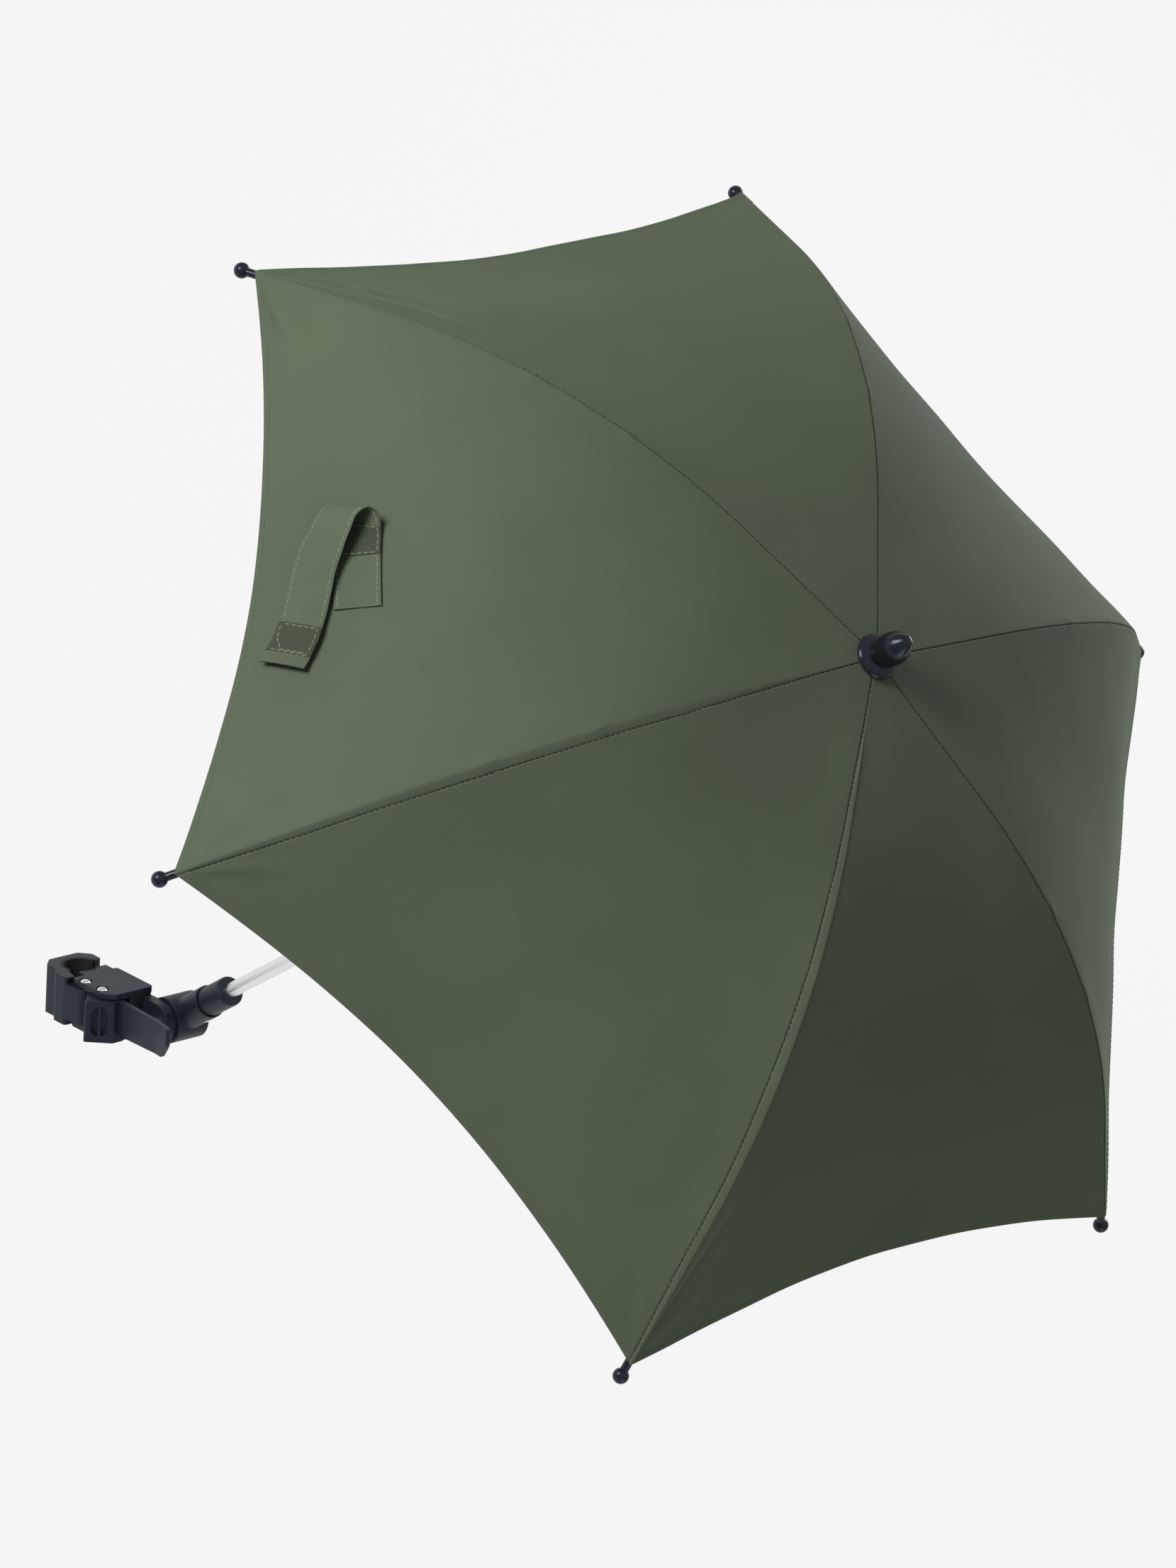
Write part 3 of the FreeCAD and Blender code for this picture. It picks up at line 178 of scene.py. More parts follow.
CREASE_FADE = 0.6          # share of a crease over which it runs out
CREASE_LEAST_RISE = 0.01

# Soft unevenness of each panel: length of the wave, its direction and its height
WAVES = ((150.0, 20.0, 0.5), (97.0, 75.0, 0.28), (61.0, 130.0, 0.14), (39.0, 50.0, 0.06))
WAVE_CALM = 24.0           # the unevenness dies out this near to a seam
WAVE_TURN = 37             # from one panel to the next, in degrees
WAVE_SHIFT = 1.7           # from one wave to the next, in radians
PANEL_SHIFT = 2.3          # from one panel to the next, in radians

# Closing strap: panel, and its rim-side and crown-side edges as places across the panel,
# out from the pole axis and over the cloth
STRAP_PANEL = 2
STRAP_RIM_EDGE = (
    (25.8, 257.6, 0.8), (2.0, 259.4, 0.9), (-16.0, 260.6, 1.0), (-25.0, 261.4, 1.2), (-30.5, 262.4, 1.9),
    (-32.4, 263.6, 3.2), (-31.0, 265.0, 4.6), (-24.0, 267.4, 5.4), (-10.4, 270.8, 5.2), (1.8, 273.0, 4.6),
    (15.3, 273.8, 4.0), (35.8, 275.8, 3.3), (47.0, 278.0, 3.6), (55.8, 280.5, 4.5),
)
STRAP_CROWN_EDGE = (
    (23.8, 241.0, 0.8), (-0.1, 243.1, 1.0), (-15.0, 243.9, 1.3), (-21.5, 244.3, 3.6), (-26.4, 245.0, 8.0),
    (-27.6, 247.8, 12.0), (-23.0, 251.2, 12.8), (-16.0, 253.0, 11.8), (-4.0, 255.7, 9.0), (7.0, 257.6, 6.6),
    (20.0, 258.6, 4.8), (41.0, 260.5, 3.5), (52.0, 262.4, 3.7), (61.4, 264.3, 4.5),
)
STRAP_W = 25.0
STRAP_T = 0.9
STRAP_STEP = 0.9
STRAP_EDGE = 1.9           # stitched line from the strap's side
STRAP_COLUMNS = 17
STRAP_ROUND_W = 0.5        # rounding of a slab's long edges, and its share of the thickness
STRAP_ROUND_SHARE = 0.3
STRAP_DASH = 2.9
STRAP_DASH_GAP = 0.6
STRAP_DASH_W = 0.7
LINE_POINTS = 24           # points between two places of a smooth line
LEG_POINTS = 60            # points along one leg of a stitched line
RIPPLE_H = 0.5             # slow waves of the strap's free end
RIPPLE_PITCH = 4.6
RIPPLE_LEAN = 7.0
RIPPLE_SWELL = 11.0
RIPPLE_FROM = 62.0
RIPPLE_RUN = 14.0
PUCKER_H = 0.12            # fine waves all along it
PUCKER_PITCH = 3.7
PUCKER_LEAN = 4.0
EDGE_CURL = 0.3
PATCH_T = 0.7
PATCH_END = 7.0            # loop patch: from the strap's free end
PATCH_LENGTH = 17.5
LOOP_OVERHANG = 0.15
LOOP_STITCH_START = 1.2    # its stitched outline, with two corners cut off
LOOP_STITCH_STOP = 1.4
LOOP_NEAR_CUT = 1.5
LOOP_NEAR_RUN = 3.0
LOOP_FAR_CUT = 6.0
LOOP_FAR_SIDE = 1.0
PATCH_END_SIDE = 1.0       # a last stitched line beyond it
PATCH_END_LEFT = 1.2
PATCH_END_RIGHT = 0.6
HOOK_FROM = 30.0           # hook patch, on the face inside the loop
HOOK_TO = 47.5
HOOK_INSET = 0.3
HOOK_STITCH_SIDE = 1.7
HOOK_STITCH_START = 0.8
HOOK_STITCH_STOP = 1.0
STITCH_FROM = 0.5          # lines along the strap's sides
SIDE_STITCH_GAP = 2.0
BACK_STITCH_TO = 60.0
BASE_STITCH_AT = 7.0       # zigzag that holds the strap on the cloth
BASE_STITCH_REACH = 8.5
BASE_STITCH_H = 0.8
ZIGZAG_POINTS = 25

# Flexible neck
NECK_R = 4.5
WIRE_PITCH = 1.27
WIRE_DEPTH = 0.2
WIRE_ROWS = 6
NECK_SIDES = 36
WIRE_ROUND = 0.99          # how much of a half circle each turn of the wire shows
PAINTED_GROOVE_SHADE_POWER = 6           # how narrow the painted shade at the bottom of the winding is
NECK_END = 1.0             # winding stops this far inside the links' ends

# Finial: radius and height over its foot
LATHE_SIDES = 64
FINIAL_LINE = (
    (5.4, 0.0), (11.6, 0.0), (12.15, 0.25), (12.4, 0.8), (12.3, 1.4), (11.85, 2.0), (11.43, 2.5),
    (10.89, 3.0), (10.18, 3.5), (9.1, 4.0), (8.2, 4.3), (7.6, 4.6), (7.6, 5.0), (7.91, 6.0), (8.16, 7.0),
    (8.45, 8.5), (8.66, 10.0), (8.77, 11.5), (8.8, 13.0), (8.72, 14.5), (8.52, 16.0), (8.2, 17.5),
    (7.74, 19.0), (7.15, 20.5), (6.41, 22.0), (5.49, 23.5), (4.37, 25.0), (3.48, 26.0), (2.9, 26.6),
    (2.2, 27.05), (1.4, 27.35), (0.5, 27.5),
)

# Places read from the frame
shaft_low, shaft_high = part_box("shaft_tube")
tip_low, tip_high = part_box("rib_tip_1")
finial_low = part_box("finial")[0]
POLE_X = (shaft_low.x + shaft_high.x) / 2 / MM
POLE_Y = (shaft_low.y + shaft_high.y) / 2 / MM
TIP_PLANE_Z = tip_low.z / MM + TIP_BALL_R
TIP_CIRCLE_R = tip_high.x / MM - TIP_BALL_R - POLE_X
FINIAL_Z = finial_low.z / MM
CANOPY_AT = np.array([POLE_X, POLE_Y, TIP_PLANE_Z])
CORNER_R = TIP_CIRCLE_R - CORNER_INSET
CORNER_X = CORNER_R * COS_HALF
SPLICE_X = SPLICE_R * COS_HALF
BEND_X = TIP_CIRCLE_R - RIB_RIM_RUN - RIB_BEND_R * math.sin(RIM_A)
BEND_Z = RIB_RIM_RUN * math.tan(RIM_A) - RIB_BEND_R * math.cos(RIM_A)


def joint_named(name):
    return next(joint for joint in frame["joints"] if joint["name"] == name)


def smooth(value):
    """0 below 0, 1 above 1, and an S between them."""
    share = np.clip(value, 0, 1)
    return share * share * (3 - 2 * share)


# Mesh helpers

def new_object(name, mesh, material):
    obj = bpy.data.objects.new(name, mesh)
    scene.collection.objects.link(obj)
    mesh.materials.append(material)
    return obj


def mesh_object(name, points, faces, material, uv=None, sharp_degrees=40):
    """A mesh from points in millimetres, smooth-shaded apart from edges sharper than the angle given."""
    mesh = bpy.data.meshes.new(name)
    mesh.from_pydata((np.asarray(points) * MM).tolist(), [], [list(map(int, face)) for face in faces])
    mesh.update()
    obj = new_object(name, mesh, material)
    if uv is not None:
        layer = mesh.uv_layers.new(name="UVMap")
        index = np.empty(len(mesh.loops), np.int32)
        mesh.loops.foreach_get("vertex_index", index)
        layer.data.foreach_set("uv", np.asarray(uv, np.float32)[index].ravel())
    mesh.polygons.foreach_set("use_smooth", [True] * len(mesh.polygons))
    mesh.set_sharp_from_angle(angle=math.radians(sharp_degrees))
    return obj


def grid_faces(rows, columns, start=0, flip=False, wrap=False):
    """Quads of a grid of points that is stored row by row."""
    last = columns if wrap else columns - 1
    row, column = np.meshgrid(np.arange(rows - 1), np.arange(last), indexing="ij")
    after = (column + 1) % columns
    quads = np.stack([row * columns + column, row * columns + after,
                      (row + 1) * columns + after, (row + 1) * columns + column], -1).reshape(-1, 4) + start
    return quads[:, ::-1] if flip else quads


def border(rows, columns):
    """Indices round the outside of a grid, in order."""
    top = np.arange(columns)
    right = np.arange(1, rows) * columns + columns - 1
    bottom = (rows - 1) * columns + np.arange(columns - 2, -1, -1)
    left = np.arange(rows - 2, 0, -1) * columns
    return np.concatenate([top, right, bottom, left])


def closed_sheet(outer, inner, rows, columns):
    """Points and faces of two layers that are joined round their border."""
    count = rows * columns
    edge = border(rows, columns)
    after = np.roll(edge, -1)
    walls = np.stack([edge, edge + count, after + count, after], -1)
    top = grid_faces(rows, columns, flip=True)
    faces = np.concatenate([top, grid_faces(rows, columns, start=count), walls])
    return np.concatenate([outer, inner]), faces


def tube_faces(rows, sides):
    """Faces of rings of points, one over the other, closed at both ends."""
    faces = [list(face) for face in grid_faces(rows, sides, wrap=True)]
    faces.append(list(range(sides))[::-1])
    faces.append([(rows - 1) * sides + i for i in range(sides)])
    return faces


def lathe(name, line, place, material):
    """A turned form from (radius, height) points about a line along Z."""
    sides = LATHE_SIDES
    turn = np.linspace(0, 2 * math.pi, sides, endpoint=False)
    rings = [np.stack([r * np.cos(turn), r * np.sin(turn), np.full(sides, z)], -1) for r, z in line]
    points = np.concatenate(rings) + np.asarray(place)
    return mesh_object(name, points, tube_faces(len(line), sides), material)


def dashes(name, path, normals, material, length=DASH, gap=DASH_GAP, width=DASH_W):
    """Thread stitches along a path: each one is a small lens that is half sunk in the cloth."""
    steps = np.linalg.norm(np.diff(path, axis=0), axis=1)
    at = np.concatenate([[0], np.cumsum(steps)])
    starts = np.arange(gap, at[-1] - length, length + gap)
    where = starts[:, None] + STITCH_SHARES[None, :] * length
    middle = np.stack([np.interp(where, at, path[:, i]) for i in range(3)], -1)
    up = np.stack([np.interp(where, at, normals[:, i]) for i in range(3)], -1)
    up /= np.linalg.norm(up, axis=-1, keepdims=True)
    along = middle[:, -1] - middle[:, 0]
    side = np.cross(up, along[:, None, :])
    side /= np.linalg.norm(side, axis=-1, keepdims=True)
    reach = (width / 2 * STITCH_SWELL)[None, :, None]
    ring = np.stack([middle + side * reach, middle + up * reach * STITCH_RISE,
                     middle - side * reach, middle - up * reach * STITCH_SINK], 2)
    points = ring.reshape(-1, 3)
    one = len(STITCH_SHARES) * 4
    ends = [[3, 2, 1, 0], [one - 4, one - 3, one - 2, one - 1]]
    first = grid_faces(len(STITCH_SHARES), 4, wrap=True).tolist() + ends
    faces = [[index + number * one for index in face] for number in range(len(starts)) for face in first]
    return mesh_object(name, points, faces, material, sharp_degrees=80)


# Materials

WEAVE_SCALE = 5.0              # bands of a wave texture for each unit of the weave
CLOTH_SHADES = (0.95, 1.05)    # darkest and lightest parts, for each unit of the colour
PLASTIC_SHADES = (0.82, 1.18)
METAL_SHADES = (0.92, 1.04)
PILE_SHADES = (0.35, 1.7)
PLASTIC_DULL = (0.85, 1.2)     # least and most roughness, for each unit of it
METAL_DULL = (0.7, 1.4)
SHEEN_SHADE = 4
CLOUD_ENDS = (0.3, 0.7)
THREAD_SHADE = 0.035
PILE_SCALE = 100.0             # texture scale for each unit of the pile's pitch


def new_material(name):
    material = bpy.data.materials.new(name)
    material.use_nodes = True
    tree = material.node_tree
    return material, tree, tree.nodes["Principled BSDF"]


def set_values(node, **values):
    """Sets a shader node's properties, or its sockets where no property has that name."""
    for key, value in values.items():
        if hasattr(node, key):
            setattr(node, key, value)
        else:
            node.inputs[key.replace("_", " ")].default_value = value
    return node


def add(tree, kind, **values):
    return set_values(tree.nodes.new(kind), **values)


def join(tree, source, output, target, name):
    tree.links.new(source.outputs[output], target.inputs[name])


def join_at(tree, source, output, target, number):
    tree.links.new(source.outputs[output], target.inputs[number])


def scaled(colour, share):
    """A colour made darker or lighter, and no lighter than white."""
    return tuple(min(channel * share, 1) for channel in colour)


def mixed_colours(tree, factor, output, low, high):
    """A ramp between two colours, driven by a node's output."""
    ramp = tree.nodes.new("ShaderNodeValToRGB")
    ramp.color_ramp.elements[0].color = (*low, 1)
    ramp.color_ramp.elements[1].color = (*high, 1)
    join(tree, factor, output, ramp, "Fac")
    return ramp


def cloth_material(name, colour, weave=0.36):
    """Plain weave: two crossed sets of threads, a little uneven in colour and height."""
    material, tree, shader = new_material(name)
    coords = add(tree, "ShaderNodeTexCoord")
    threads = add(tree, "ShaderNodeMath", operation="MULTIPLY")
    for number, direction in enumerate("XY"):
        wave = add(tree, "ShaderNodeTexWave", wave_type="BANDS", bands_direction=direction,
                   Scale=WEAVE_SCALE / weave, Distortion=0.6, Detail=1.0)
        join(tree, coords, "UV", wave, "Vector")
        join_at(tree, wave, "Fac", threads, number)
    cloud = add(tree, "ShaderNodeTexNoise", Scale=9.0, Detail=5.0, Roughness=0.6)
    join(tree, coords, "Object", cloud, "Vector")
    low, high = CLOTH_SHADES
    ramp = mixed_colours(tree, cloud, "Fac", scaled(colour, low), scaled(colour, high))
    for element, position in zip(ramp.color_ramp.elements, CLOUD_ENDS):
        element.position = position
    shade = add(tree, "ShaderNodeMix", data_type="RGBA", blend_type="MULTIPLY")
    shade.inputs["Factor"].default_value = THREAD_SHADE
    tree.links.new(ramp.outputs["Color"], shade.inputs["A"])
    tree.links.new(threads.outputs["Value"], shade.inputs["B"])
    tree.links.new(shade.outputs["Result"], shader.inputs["Base Color"])
    bump = add(tree, "ShaderNodeBump", Strength=0.05, Distance=0.0001)
    join(tree, threads, "Value", bump, "Height")
    join(tree, bump, "Normal", shader, "Normal")
    set_values(shader, Roughness=0.72, Specular_IOR_Level=0.12, Sheen_Weight=0.08, Sheen_Roughness=0.45,
               Sheen_Tint=(*scaled(colour, SHEEN_SHADE), 1))
    return material


def plastic_material(name, colour, roughness, grain, grain_scale, bevel=0.0, shine_level=0.35,
                     shine_tint=(1, 1, 1)):
    """Moulded plastic with a fine grain and slightly worn, rounded edges."""
    material, tree, shader = new_material(name)
    coords = add(tree, "ShaderNodeTexCoord")
    noise = add(tree, "ShaderNodeTexNoise", Scale=grain_scale, Detail=3.0, Roughness=0.55)
    join(tree, coords, "Object", noise, "Vector")
    cloud = add(tree, "ShaderNodeTexNoise", Scale=38.0, Detail=4.0)
    join(tree, coords, "Object", cloud, "Vector")
    low, high = PLASTIC_SHADES
    ramp = mixed_colours(tree, cloud, "Fac", scaled(colour, low), scaled(colour, high))
    join(tree, ramp, "Color", shader, "Base Color")
    least, most = PLASTIC_DULL
    shine = add(tree, "ShaderNodeMapRange", To_Min=roughness * least, To_Max=roughness * most)
    join(tree, cloud, "Fac", shine, "Value")
    join(tree, shine, "Result", shader, "Roughness")
    bump = add(tree, "ShaderNodeBump", Strength=grain, Distance=0.00008)
    join(tree, noise, "Fac", bump, "Height")
    if bevel:
        rounding = add(tree, "ShaderNodeBevel", samples=6, Radius=bevel * MM)
        join(tree, rounding, "Normal", bump, "Normal")
    join(tree, bump, "Normal", shader, "Normal")
    set_values(shader, Specular_IOR_Level=shine_level, Specular_Tint=(*shine_tint, 1))
    return material


def metal_material(name, colour, roughness, stretch=(1, 1, 1), scratch=0.15, painted_groove_shade=None):
    """Bright metal with fine drawn marks; groove, where given, is the share of the colour that stays in the
    painted shade at the bottoms of its windings.
    """
    material, tree, shader = new_material(name)
    coords = add(tree, "ShaderNodeTexCoord")
    place = add(tree, "ShaderNodeMapping", Scale=stretch)
    join(tree, coords, "Object", place, "Vector")
    noise = add(tree, "ShaderNodeTexNoise", Scale=420.0, Detail=3.0)
    join(tree, place, "Vector", noise, "Vector")
    cloud = add(tree, "ShaderNodeTexNoise", Scale=55.0, Detail=4.0)
    join(tree, coords, "Object", cloud, "Vector")
    low, high = METAL_SHADES
    ramp = mixed_colours(tree, cloud, "Fac", scaled(colour, low), scaled(colour, high))
    if painted_groove_shade is None:
        join(tree, ramp, "Color", shader, "Base Color")
    else:
        # Painted shade: the bottoms of the windings, marked by a point attribute, get a darker colour
        painted_groove_shade_mask = add(tree, "ShaderNodeAttribute", attribute_name="painted_groove_shade")
        shade = add(tree, "ShaderNodeMix", data_type="RGBA", blend_type="MIX")
        join(tree, painted_groove_shade_mask, "Fac", shade, "Factor")
        tree.links.new(ramp.outputs["Color"], shade.inputs["A"])
        shade.inputs["B"].default_value = (*scaled(colour, painted_groove_shade), 1)
        tree.links.new(shade.outputs["Result"], shader.inputs["Base Color"])
    least, most = METAL_DULL
    shine = add(tree, "ShaderNodeMapRange", To_Min=roughness * least, To_Max=roughness * most)
    join(tree, cloud, "Fac", shine, "Value")
    join(tree, shine, "Result", shader, "Roughness")
    bump = add(tree, "ShaderNodeBump", Strength=scratch, Distance=0.00003)
    join(tree, noise, "Fac", bump, "Height")
    join(tree, bump, "Normal", shader, "Normal")
    set_values(shader, Metallic=1.0)
    return material


def patch_material(name, colour, pitch, hooks):
    """Hook or loop tape: rows of hooks, or a matted pile."""
    material, tree, shader = new_material(name)
    coords = add(tree, "ShaderNodeTexCoord")
    if hooks:
        pile = add(tree, "ShaderNodeTexVoronoi", Scale=PILE_SCALE / pitch, Randomness=0.25)
        output = "Distance"
    else:
        pile = add(tree, "ShaderNodeTexNoise", Scale=PILE_SCALE / pitch, Detail=5.0, Roughness=0.75)
        output = "Fac"
    join(tree, coords, "UV", pile, "Vector")
    low, high = PILE_SHADES
    ramp = mixed_colours(tree, pile, output, scaled(colour, low), scaled(colour, high))
    join(tree, ramp, "Color", shader, "Base Color")
    bump = add(tree, "ShaderNodeBump", Strength=0.9, Distance=0.0005)
    join(tree, pile, output, bump, "Height")
    join(tree, bump, "Normal", shader, "Normal")
    set_values(shader, Roughness=0.85, Sheen_Weight=0.12)
    return material


OLIVE = (0.133, 0.172, 0.113)
SHINE_BLUE = (0.68, 0.83, 1.0)
canopy_cloth = cloth_material("canopy_cloth", OLIVE)
strap_cloth = cloth_material("strap_cloth", (0.136, 0.175, 0.116), weave=0.6)
tape_cloth = cloth_material("tape_cloth", (0.085, 0.112, 0.068), weave=0.6)
# Near-black seam thread, which also paints the shadow line of each seam's fold
seam_thread_and_shadow = cloth_material("seam_thread_and_shadow", (0.016, 0.022, 0.014), weave=0.3)
hem_thread = cloth_material("hem_thread", (0.165, 0.2, 0.115), weave=0.3)
strap_thread = cloth_material("strap_thread", (0.3, 0.36, 0.25), weave=0.3)
hook_tape = patch_material("hook_tape", (0.058, 0.08, 0.048), 1.8, True)
loop_tape = patch_material("loop_tape", (0.056, 0.077, 0.044), 0.7, False)
black_plastic = plastic_material("black_plastic", (0.0135, 0.017, 0.0235), 0.46, 0.22, 900.0, bevel=0.9,
                                 shine_tint=SHINE_BLUE)
gloss_black = plastic_material("gloss_black", (0.011, 0.012, 0.016), 0.2, 0.04, 300.0, shine_level=0.32,
                               shine_tint=SHINE_BLUE)
grip_rubber = plastic_material("grip_rubber", (0.016, 0.016, 0.018), 0.7, 0.5, 700.0)
rivet_steel = metal_material("rivet_steel", (0.86, 0.88, 0.9), 0.16)
# The neck's steel has painted shade in the bottoms of its windings
neck_steel = metal_material("neck_steel", (0.9, 0.91, 0.93), 0.24, scratch=0.05, painted_groove_shade=0.3)
shaft_steel = metal_material("shaft_steel", (0.8, 0.81, 0.83), 0.18, (1, 1, 0.05))
rib_steel = metal_material("rib_steel", (0.52, 0.53, 0.55), 0.32, (0.1, 0.1, 1), 0.3)
FINISHES = {
    "black_plastic": black_plastic, "gloss_black": gloss_black, "grip_rubber": grip_rubber,
    "rivet_steel": rivet_steel, "neck_steel": neck_steel, "shaft_steel": shaft_steel, "rib_steel": rib_steel,
    "canopy_cloth": canopy_cloth, "strap_cloth": strap_cloth,
}
for subpart in frame["record"]["subparts"]:
    mesh = nodes[subpart["node"]].data
    mesh.materials.clear()
    mesh.materials.append(FINISHES[subpart["material_slot"]])


# Canopy cloth. Each panel has its own frame: x out from the pole axis through its middle, t across it.

def cloth_profile(x):
    """Height over the tip plane and slope of the cloth's outside along a panel's middle."""
    radius = x / COS_HALF
    bend = RIB_BEND_R + RIB_SINK
    root_r = BEND_X + bend * math.sin(ROOT_A)
    rim_r = BEND_X + bend * math.sin(RIM_A)
    inside = np.clip(radius, root_r, rim_r) - BEND_X
    drop = np.sqrt(bend ** 2 - inside ** 2)
    root_rise = np.maximum(root_r - radius, 0) * math.tan(ROOT_A)
    rim_fall = np.maximum(radius - rim_r, 0) * math.tan(RIM_A)
    height = BEND_Z + drop + root_rise - rim_fall
    return height, np.arctan(inside / drop / COS_HALF)


def seam_lean(slope):
    """Cosine of the angle between a rib and the panel's middle line, in the cloth."""
    return 1 / np.sqrt(1 + (TAN_HALF * np.cos(slope)) ** 2)


def seam_offset(panel, end, x):
    """How far the stitched line lies from the rib, or None where it lies in the next panel."""
    rib = (panel + (end > 0)) % RIB_COUNT
    neighbour = (panel + end) % RIB_COUNT
    if (rib, neighbour) in SHIFTED_SEAMS:
        return None
    if (rib, panel) in SHIFTED_SEAMS:
        return SHIFTED_SEAMS[(rib, panel)] * np.interp(x / COS_HALF, SEAM_SHIFT_AT, SEAM_SHIFT_SHARE)
    if end > 0:
        return np.full_like(x, SEAM_ON_RIB)
    return None


def cloth_lift(panel, x, t, slope):
    """How far the cloth lies outside its plain panel: sag, crests, seams, creases and unevenness."""
    edge = x * TAN_HALF
    across = np.clip(t / edge, -1, 1)
    lift = -SAG * smooth((x - SAG_FROM) / SAG_RUN) * (1 - across ** 2) ** SAG_POWER
    lean = seam_lean(slope)
    steep = np.tan(np.arcsin(np.sin(slope) * math.sin(math.radians(HALF_STEP))))
    radius = x / COS_HALF
    for end in (-1, 1):
        away = np.maximum(edge - end * t, 0) * lean
        lift = lift - steep * (np.sqrt(away ** 2 + CREST_ROUND ** 2) - away)
        for place in (BRACKET_R, SPLICE_R):
            lift = lift + BUMP_LIFT * np.exp(-((radius - place) / BUMP_REACH) ** 2 - (away / BUMP_REACH) ** 2)
        offset = seam_offset(panel, end, x)
        if offset is not None:
            lift = lift - GROOVE_DEPTH * np.exp(-((away - offset) / GROOVE_W) ** 2)
            lift = lift + FACET_LIFT * smooth(offset - 1) * np.maximum(1 - away / np.maximum(offset, 1), 0)
    corner_slope = cloth_profile(np.array([CORNER_X]))[1][0]
    rib_turn = math.atan(TAN_HALF * math.cos(corner_slope))
    for owner, end, angle, spread, start, length, height in CREASES:
        if owner != panel:
            continue
        up = (CORNER_X - x) / math.cos(corner_slope)
        along = CORNER_X * TAN_HALF - end * t
        far = np.hypot(up, along)
        turn = np.degrees(np.arctan2(along, np.maximum(up, CREASE_LEAST_RISE)) - rib_turn)
        window = smooth((far - start) / CREASE_RAMP) * smooth((start + length - far) / (length * CREASE_FADE))
        lift = lift + height * window * np.exp(-((turn - angle) / spread) ** 2)
    calm = smooth((edge - np.abs(t)) / WAVE_CALM)
    for number, (wave, direction, height) in enumerate(WAVES):
        turn = math.radians(direction + WAVE_TURN * panel)
        phase = WAVE_SHIFT * number + PANEL_SHIFT * panel
        along = x * math.cos(turn) + t * math.sin(turn)
        lift = lift + height * calm * np.sin(2 * math.pi * along / wave + phase)
    return lift


def to_frame(panel, x, t, z):
    """Points of a panel's own frame in the part's frame, in millimetres."""
    turn = math.radians(RIB_STEP * panel + HALF_STEP)
    east = x * math.cos(turn) - t * math.sin(turn)
    north = x * math.sin(turn) + t * math.cos(turn)
    return np.stack([east, north, z], -1) + CANOPY_AT


def cloth_points(panel, x, t):
    height, slope = cloth_profile(x)
    lift = cloth_lift(panel, x, t, slope)
    return to_frame(panel, x + lift * np.sin(slope), t, height + lift * np.cos(slope))


def cloth_surface(panel, x, t):
    """Points on the outside of a panel and the directions that stand on it."""
    edge = x * TAN_HALF
    points = cloth_points(panel, x, t)
    outward = cloth_points(panel, x + SLOPE_STEP, t) - cloth_points(panel, x - SLOPE_STEP, t)
    near = np.clip(t - SLOPE_STEP, -edge, edge)
    far = np.clip(t + SLOPE_STEP, -edge, edge)
    sideways = cloth_points(panel, x, far) - cloth_points(panel, x, near)
    normals = np.cross(outward, sideways)
    return points, normals / np.linalg.norm(normals, axis=-1, keepdims=True)


EDGE_STEPS = np.array([0, 0.25, 0.5, 0.75, 1.0, 1.4, 1.9, 2.5, 3.2, 4.0, 4.8, 5.5, 6.2, 7.0, 8.2, 10.0, 13.0])
MIDDLE_COLUMNS = 34
FULL_EDGE = 26.0           # half width from which the columns beside a seam keep their distances


def panel_columns(x):
    """Places across a panel, close together beside the seams; one row for each x."""
    slope = cloth_profile(x)[1]
    edge = x * TAN_HALF
    steps = EDGE_STEPS[None, :] * (np.minimum(1, edge / FULL_EDGE) / seam_lean(slope))[:, None]
    inner = edge[:, None] - steps
    share = np.linspace(-1, 1, MIDDLE_COLUMNS + 2)[1:-1]
    middle = inner[:, -1:] * share[None, :]
    return np.concatenate([-inner, middle, inner[:, ::-1]], 1)


def rim_x(t):
    """Scalloped rim: distance out from the pole axis at a place across the panel."""
    across = np.clip(t / (CORNER_X * TAN_HALF), -1, 1)
    return CORNER_X - SCALLOP_DEPTH * (1 - across ** 2)


def sheet_normals(mesh, normals, rows, columns):
    """Gives both layers of a sheet the canopy's own directions, so that panels join without a break."""
    count = rows * columns
    index = np.empty(len(mesh.loops), np.int32)
    mesh.loops.foreach_get("vertex_index", index)
    ends = np.empty(2 * len(mesh.edges), np.int32)
    mesh.edges.foreach_get("vertices", ends)
    ends = ends.reshape(-1, 2)
    on_border = np.isin(ends % count, border(rows, columns)).all(1)
    same_layer = (ends[:, 0] < count) == (ends[:, 1] < count)
    sharp = mesh.attributes.get("sharp_edge") or mesh.attributes.new("sharp_edge", "BOOLEAN", "EDGE")
    sharp.data.foreach_set("value", on_border & same_layer)
    loop_normals = np.concatenate([normals, -normals])[index]
    for polygon in mesh.polygons:
        corners = list(polygon.loop_indices)
        layers = index[corners] < count
        if layers.any() and not layers.all():
            loop_normals[corners] = np.array(polygon.normal)
    mesh.normals_split_custom_set(loop_normals.tolist())


